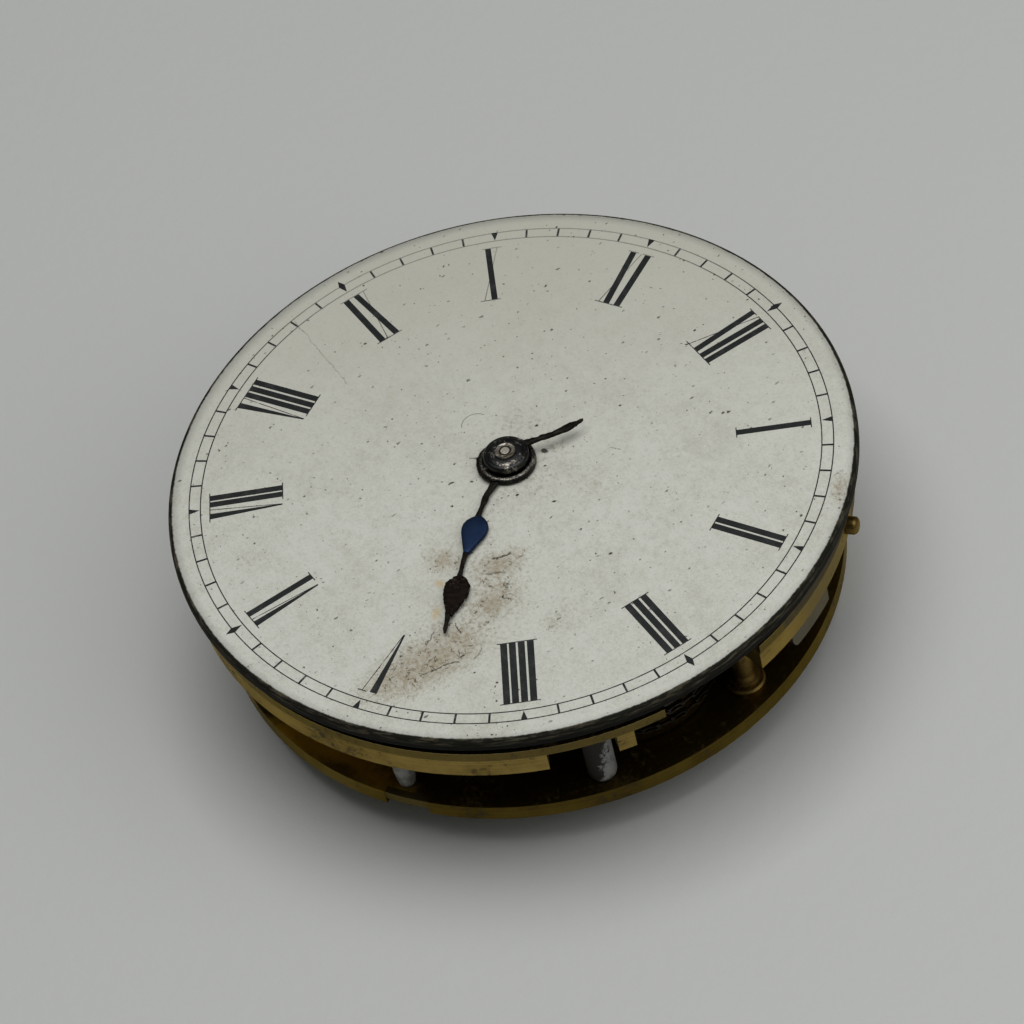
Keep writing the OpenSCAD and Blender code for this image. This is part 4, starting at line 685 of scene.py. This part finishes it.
bm = bmesh.new()
for hour, places in barPlaces.items():
    low, high = min(places) - dial["bar"] / 2 - dial["overhang"], max(places) + dial["bar"] / 2 + dial["overhang"]
    footSerif(bm, hour, low, high)
    headSerif(bm, hour, slantPlaces[hour][0] - dial["slantOverhang"] if hour in (6, 7, 8) else low, high)
for minute in range(60):
    if minute % 5:
        inkBox(bm, minute / 5, -dial["tick"] / 2, dial["tick"] / 2, inner, outer)
sinkFaces(bm, list(bm.faces), dial["sink"] * mm)
ringMesh = bmesh.new()
for r in dial["ring"]:
    w, high = dial["line"] / 2, dialHeight(r)
    low = high - dial["sink"]
    spinProfile(ringMesh, [(r - w, high), (r + w, high), (r + w, low), (r - w, low)], dial["ringSteps"])
ringTemp = bpy.data.meshes.new("ringTemp")
ringMesh.to_mesh(ringTemp)
ringMesh.free()
bm.from_mesh(ringTemp)
bpy.data.meshes.remove(ringTemp)
finishPiece("dialMinuteRing", bm, "frame", faintInk)

bm = bmesh.new()
for hour, (head, foot) in hairPlaces.items():
    inkStroke(bm, hour, head, foot, dial["hair"], dial["hair"])
    if hour in (9, 10, 11, 12):
        slantHead, slantFoot = slantPlaces[hour][:2]
        footSerif(bm, hour, foot - hairSerifs["foot"], foot + hairSerifs["foot"])
        footSerif(bm, hour, slantFoot - hairSerifs["slantFoot"], slantFoot + hairSerifs["slantFoot"])
        headSerif(bm, hour, slantHead - hairSerifs["slantHead"], slantHead + hairSerifs["slantHead"])
    if hour in (5, 9, 10):
        headSerif(bm, hour, head - hairSerifs["head"], head + hairSerifs["head"])
sinkFaces(bm, list(bm.faces), dial["sink"] * mm)
finishPiece("dialHairStrokes", bm, "frame", hairInk)

# dark rounded border of the dial, a little wider than the enamel and off the print's middle
border = {"steps": 240, "shift": (0.01, 0.07, 0),
          "profile": [(20.70, 12.30), (20.82, 12.722), (20.94, 12.722), (21.05, 12.69), (21.13, 12.62), (21.18, 12.52),
                      (21.20, 12.38), (21.20, 12.06), (21.15, 11.90), (21.00, 11.82), (20.70, 11.82)]}
bm = bmesh.new()
spinProfile(bm, border["profile"], border["steps"])
bmesh.ops.translate(bm, verts=bm.verts, vec=Vector(border["shift"]) * mm)
finishPiece("dialBorder", bm, "frame", enamel)
print("dial printed")


# flat blade along a line of stations: middle x, y and half width
def bladeFace(bm, stations, height):
    left, right = [], []
    for i, (x, y, w) in enumerate(stations):
        before, after = stations[max(0, i - 1)], stations[min(len(stations) - 1, i + 1)]
        side = Vector((before[1] - after[1], after[0] - before[0])).normalized() * w
        left.append(bm.verts.new(((x + side.x) * mm, (y + side.y) * mm, height * mm)))
        right.append(bm.verts.new(((x - side.x) * mm, (y - side.y) * mm, height * mm)))
    faces = [bm.faces.new((right[i], right[i + 1], left[i + 1], left[i])) for i in range(len(left) - 1)]
    bmesh.ops.recalc_face_normals(bm, faces=faces)
    return faces


# closed blade of even thickness
def bladeBody(stations, low, thick):
    bm = bmesh.new()
    sinkFaces(bm, bladeFace(bm, stations, low + thick), thick * mm)
    bmesh.ops.recalc_face_normals(bm, faces=bm.faces)
    return bm


# rust: long edges split, then every point moved by noise of its own seed
def roughen(bm, seed, uneven, longest, up):
    longEdges = [e for e in bm.edges if e.calc_length() > longest * mm]
    bmesh.ops.subdivide_edges(bm, edges=longEdges, cuts=2, use_grid_fill=True)
    dice = random.Random(seed)
    for v in bm.verts:
        v.co += Vector((dice.uniform(-1, 1), dice.uniform(-1, 1), dice.uniform(-0.6, up))) * uneven * mm


# rusty blade with rounded edges
def roughBlade(name, stations, low, thick, body, paint, seed, uneven):
    bm = bladeBody(stations, low, thick)
    rim = [e for e in bm.edges if len(e.link_faces) == 2 and e.calc_face_angle() > 1.2
           and abs(e.verts[0].co.z - e.verts[1].co.z) < 1e-9]
    roundEdges(bm, rim, thick * 0.3, segments=2)
    roughen(bm, seed, uneven, longest=0.2, up=0.6)
    return finishPiece(name, bm, body, paint, smooth=50)


# leaf with a crowned top: the blade's top drawn in and up twice, rough where it has rusted
def crownedLeaf(name, middle, along, outline, low, thick, crown, body, paint, slot, seed=0, uneven=0.0):
    bm = bladeBody([(middle[0] + along[0] * s, middle[1] + along[1] * s, w) for s, w in outline], low, thick)
    for depth, inset in ((0.6, 0.05), (0.4, 0.09)):
        top = [f for f in bm.faces if f.normal.z > 0.9 and f.calc_center_median().z > (low + thick) * mm - 1e-6]
        bmesh.ops.inset_region(bm, faces=top, thickness=inset * mm, depth=crown * depth * mm, use_even_offset=True)
    if uneven:
        roughen(bm, seed, uneven, longest=0.15, up=0.8)
    finishPiece(name, bm, body, paint, smooth=70)


# hour hand: blued and rusted leaves on a thin bent stem, its stepped boss and the rust about the boss
hourHand = {"low": 13.05, "thick": 0.2, "leafLow": 13.04, "leafThick": 0.23, "crown": 0.05,
            "bossLow": 12.91, "bossHigh": 13.41, "bossR": 1.76, "pipe": 1.16, "bossSteps": 96,
            "stem": [(0.62, -0.95, 0.26), (0.92, -1.42, 0.24), (1.43, -2.40, 0.17), (1.62, -2.66, 0.21),
                     (2.04, -3.15, 0.13), (2.63, -3.86, 0.17), (3.55, -4.80, 0.18), (4.55, -5.94, 0.17),
                     (5.12, -6.51, 0.13), (5.50, -6.87, 0.12), (5.85, -7.21, 0.16), (6.81, -8.12, 0.18),
                     (7.73, -9.18, 0.19), (8.30, -9.66, 0.12), (8.60, -9.93, 0.13), (8.89, -10.16, 0.05)],
            "inner": ((3.55, -4.76), (0.66, -0.75),
                      [(-1.38, 0.16), (-1.2, 0.42), (-0.95, 0.66), (-0.65, 0.79), (-0.3, 0.80), (0.05, 0.73),
                       (0.45, 0.57), (0.85, 0.42), (1.2, 0.28), (1.5, 0.16)]),
            "outer": ((6.81, -8.09), (0.70, -0.71),
                      [(-1.3, 0.18), (-1.12, 0.46), (-0.85, 0.68), (-0.45, 0.77), (-0.05, 0.74), (0.35, 0.63),
                       (0.7, 0.5), (1.05, 0.38), (1.35, 0.24), (1.6, 0.15)]),
            "rustR": 1.70, "rustFrom": -52, "rustStep": -8, "rustRise": 0.04, "rustThick": 0.44,
            "rustWidths": [0.12, 0.16, 0.2, 0.17, 0.21, 0.18, 0.22, 0.19, 0.22, 0.2, 0.22, 0.18, 0.16, 0.12, 0.06]}
leafShape = (hourHand["leafLow"], hourHand["leafThick"], hourHand["crown"])
hourStem = roughBlade("hourHandStem", hourHand["stem"], hourHand["low"], hourHand["thick"],
                      "hour", blackRust, seed=3, uneven=0.018)
crownedLeaf("hourHandInnerLeaf", *hourHand["inner"], *leafShape, "hour", blued, "blued_steel")
crownedLeaf("hourHandOuterLeaf", *hourHand["outer"], *leafShape, "hour", rusted, "rusted_steel", seed=5, uneven=0.055)
bm = bmesh.new()
low, high, r, pipe = (hourHand[key] for key in ("bossLow", "bossHigh", "bossR", "pipe"))
spinProfile(bm, [(pipe, low), (r - 0.06, low), (r, low + 0.06), (r, high - 0.12), (r - 0.04, high - 0.03),
                 (r - 0.1, high), (r - 0.24, high), (r - 0.3, high - 0.05), (pipe, high - 0.06)], hourHand["bossSteps"])
finishPiece("hourHandBoss", bm, "hour", hourBossSteel)
rustArc = []
for i, w in enumerate(hourHand["rustWidths"]):
    a = math.radians(hourHand["rustFrom"] + hourHand["rustStep"] * i)
    rustArc.append((hourHand["rustR"] * math.cos(a), hourHand["rustR"] * math.sin(a), w))
roughBlade("hourHandRust", rustArc, hourHand["bossLow"] + hourHand["rustRise"], hourHand["rustThick"],
           "hour", blackRust, seed=7, uneven=0.03)
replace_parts(hourStem, "hour_hand")

# minute hand: broken stub and a boss turned with rings, closed over the pipe's end
minuteHand = {"low": 13.64, "thick": 0.24, "bossLow": 13.46, "bossHigh": 14.06, "bossR": 1.4, "pipe": 0.86, "hole": 0.5,
              "bossSteps": 96,
              "stub": [(-0.02, 1.0, 0.30), (0.10, 1.7, 0.20), (0.25, 2.2, 0.15), (0.40, 2.67, 0.17), (0.50, 3.1, 0.15),
                       (0.60, 3.6, 0.21), (0.67, 4.1, 0.25), (0.70, 4.5, 0.19), (0.72, 4.75, 0.12), (0.74, 4.95, 0.09),
                       (0.75, 5.16, 0.03)]}
minuteStub = roughBlade("minuteHandStub", minuteHand["stub"], minuteHand["low"], minuteHand["thick"],
                        "centre", blackRust, seed=11, uneven=0.034)
bm = bmesh.new()
low, high, r, pipe, hole = (minuteHand[key] for key in ("bossLow", "bossHigh", "bossR", "pipe", "hole"))
spinProfile(bm, [(pipe, low), (r - 0.08, low), (r, low + 0.08), (r, high - 0.24), (r - 0.03, high - 0.16),
                 (r - 0.09, high - 0.105), (r - 0.18, high - 0.06), (r - 0.23, high - 0.065), (r - 0.27, high - 0.035),
                 (r - 0.40, high), (pipe + 0.02, high + 0.02), (pipe - 0.10, high + 0.035), (hole + 0.12, high + 0.035),
                 (hole + 0.08, high + 0.015), (hole, high + 0.015), (hole, high + 0.003), (pipe, high + 0.003)],
            minuteHand["bossSteps"])
finishPiece("minuteHandBoss", bm, "centre", minuteBossSteel)
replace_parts(minuteStub, "minute_hand")
print("hands made")

# fusee chain: links of one and two plates by turns, riveted, wound on the barrel and led to the fusee
chain = {"pitch": 0.95, "plate": (0.30, 0.11), "height": 0.44, "rivet": 0.10, "rivetSides": 8,
         "turns": 3, "turnSteps": 60, "rise": 0.88, "top": 7.477, "hold": 45, "holdSteps": 10,
         "barrel": (*hourSpot(3.1, 11.4), 6.03), "fusee": (*hourSpot(6.1, 9.1), 5.752),
         "outline": [(-0.13, 0.3), (0.08, 0.5), (0.3, 0.36), (0.7, 0.36), (0.92, 0.5), (1.13, 0.3),
                     (1.13, -0.3), (0.92, -0.5), (0.7, -0.36), (0.3, -0.36), (0.08, -0.5), (-0.13, -0.3)]}


def chainPoints():
    bx, by, br = chain["barrel"]
    fx, fy, fr = chain["fusee"]
    reach = math.hypot(fx - bx, fy - by)
    start = math.atan2(fy - by, fx - bx) + math.acos((br - fr) / reach)
    line = []
    for i in range(chain["turns"] * chain["turnSteps"] + 1):
        left = chain["turns"] - i / chain["turnSteps"]
        a = start + math.tau * left
        line.append(Vector((bx + br * math.cos(a), by + br * math.sin(a), chain["top"] - chain["rise"] * left)))
    for i in range(chain["holdSteps"] + 1):
        a = start - math.radians(chain["hold"] * i / chain["holdSteps"])
        line.append(Vector((fx + fr * math.cos(a), fy + fr * math.sin(a), chain["top"])))
    joints, want = [line[0]], chain["pitch"]
    for p, q in zip(line, line[1:]):
        step = (q - p).length
        while want <= step:
            joints.append(p.lerp(q, want / step))
            want += chain["pitch"]
        want -= step
    return joints


def linkPlate(bm, p, q, z):
    width, thick = chain["plate"]
    along = (q - p).to_2d().normalized()
    across = Vector((-along.y, along.x))
    reach = (q - p).length
    verts = []
    for u, v in chain["outline"]:
        flat = p.to_2d() + along * (u * reach) + across * (v * width)
        verts.append(bm.verts.new((flat.x * mm, flat.y * mm, (p.z + (q.z - p.z) * u + z + thick / 2) * mm)))
    sinkFaces(bm, [bm.faces.new(verts)], thick * mm)


bm = bmesh.new()
joints = chainPoints()
for i, (p, q) in enumerate(zip(joints, joints[1:])):
    for z in ((-0.5, 0.5) if i % 2 else (0.0,)):
        linkPlate(bm, p, q, z * (chain["height"] - chain["plate"][1]))
for p in joints:
    bmesh.ops.create_cone(bm, cap_ends=True, segments=chain["rivetSides"], radius1=chain["rivet"] * mm,
                          radius2=chain["rivet"] * mm, depth=chain["height"] * mm, matrix=Matrix.Translation(p * mm))
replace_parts(finishPiece("fuseeChainLinks", bm, "frame", chainSteel), "fusee_chain")
print("chain made of", len(joints) - 1, "links")

# rim peg with a rounded end
rimPeg = {"hour": 1.55, "height": 9.63, "from": 20.65, "to": 21.36, "radius": 0.56, "round": 0.3, "sides": 32}
bm = bmesh.new()
reach = rimPeg["to"] - rimPeg["from"]
bmesh.ops.create_cone(bm, cap_ends=True, segments=rimPeg["sides"], radius1=rimPeg["radius"] * mm,
                      radius2=rimPeg["radius"] * mm, depth=reach * mm)
roundEdges(bm, pickEdges(bm, lambda p: p.z > 0), rimPeg["round"])
outward = hourSpot(rimPeg["hour"], 1.0).to_3d()
middle = outward * (rimPeg["from"] + reach / 2) + Vector((0, 0, rimPeg["height"]))
bmesh.ops.transform(bm, verts=bm.verts, matrix=outward.to_track_quat("Z", "Y").to_matrix().to_4x4())
bmesh.ops.translate(bm, verts=bm.verts, vec=middle * mm)
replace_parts(finishPiece("rimPeg", bm, "frame", turnedBrass), "rim_pin")


# block between two hours and two radii
def sectorBlock(bm, shape):
    start, end = shape["hours"]
    hours = [start + (end - start) * i / shape["steps"] for i in range(shape["steps"] + 1)]
    spots = [hourSpot(h, shape["outer"]) for h in hours] + [hourSpot(h, shape["inner"]) for h in reversed(hours)]
    top = bm.faces.new([bm.verts.new((*(v * mm), shape["top"] * mm)) for v in spots])
    sinkFaces(bm, [top], shape["depth"] * mm)
    bmesh.ops.recalc_face_normals(bm, faces=bm.faces)


# bare lug under the rim, its lower corner towards the window rounded
rimLug = {"hours": (1.95, 2.34), "inner": 19.75, "outer": 20.62, "top": 8.93, "depth": 1.15, "round": 0.8, "steps": 8}
bm = bmesh.new()
sectorBlock(bm, rimLug)
ends = [hourSpot(rimLug["hours"][1], rimLug[key]) for key in ("inner", "outer")]
low = pickEdges(bm, lambda p: p.z < rimLug["top"] - 1 and min((p.to_2d() - end).length for end in ends) < 0.01)
roundEdges(bm, low, rimLug["round"])
finishPiece("rimLug", bm, "frame", bareLug)

# worn lower corner of the top plate's edge
edgeChip = {"hours": (4.70, 5.02), "inner": 18.85, "outer": 19.47, "top": 4.215, "depth": 0.96, "round": 0.45,
            "steps": 10}
bm = bmesh.new()
sectorBlock(bm, edgeChip)
low = pickEdges(bm, lambda p: p.z < edgeChip["top"] - 0.5 and p.to_2d().length > edgeChip["outer"] - 0.1)
roundEdges(bm, low, edgeChip["round"])
finishPiece("edgeChip", bm, "frame", chippedBrass)
print("rim pieces made")
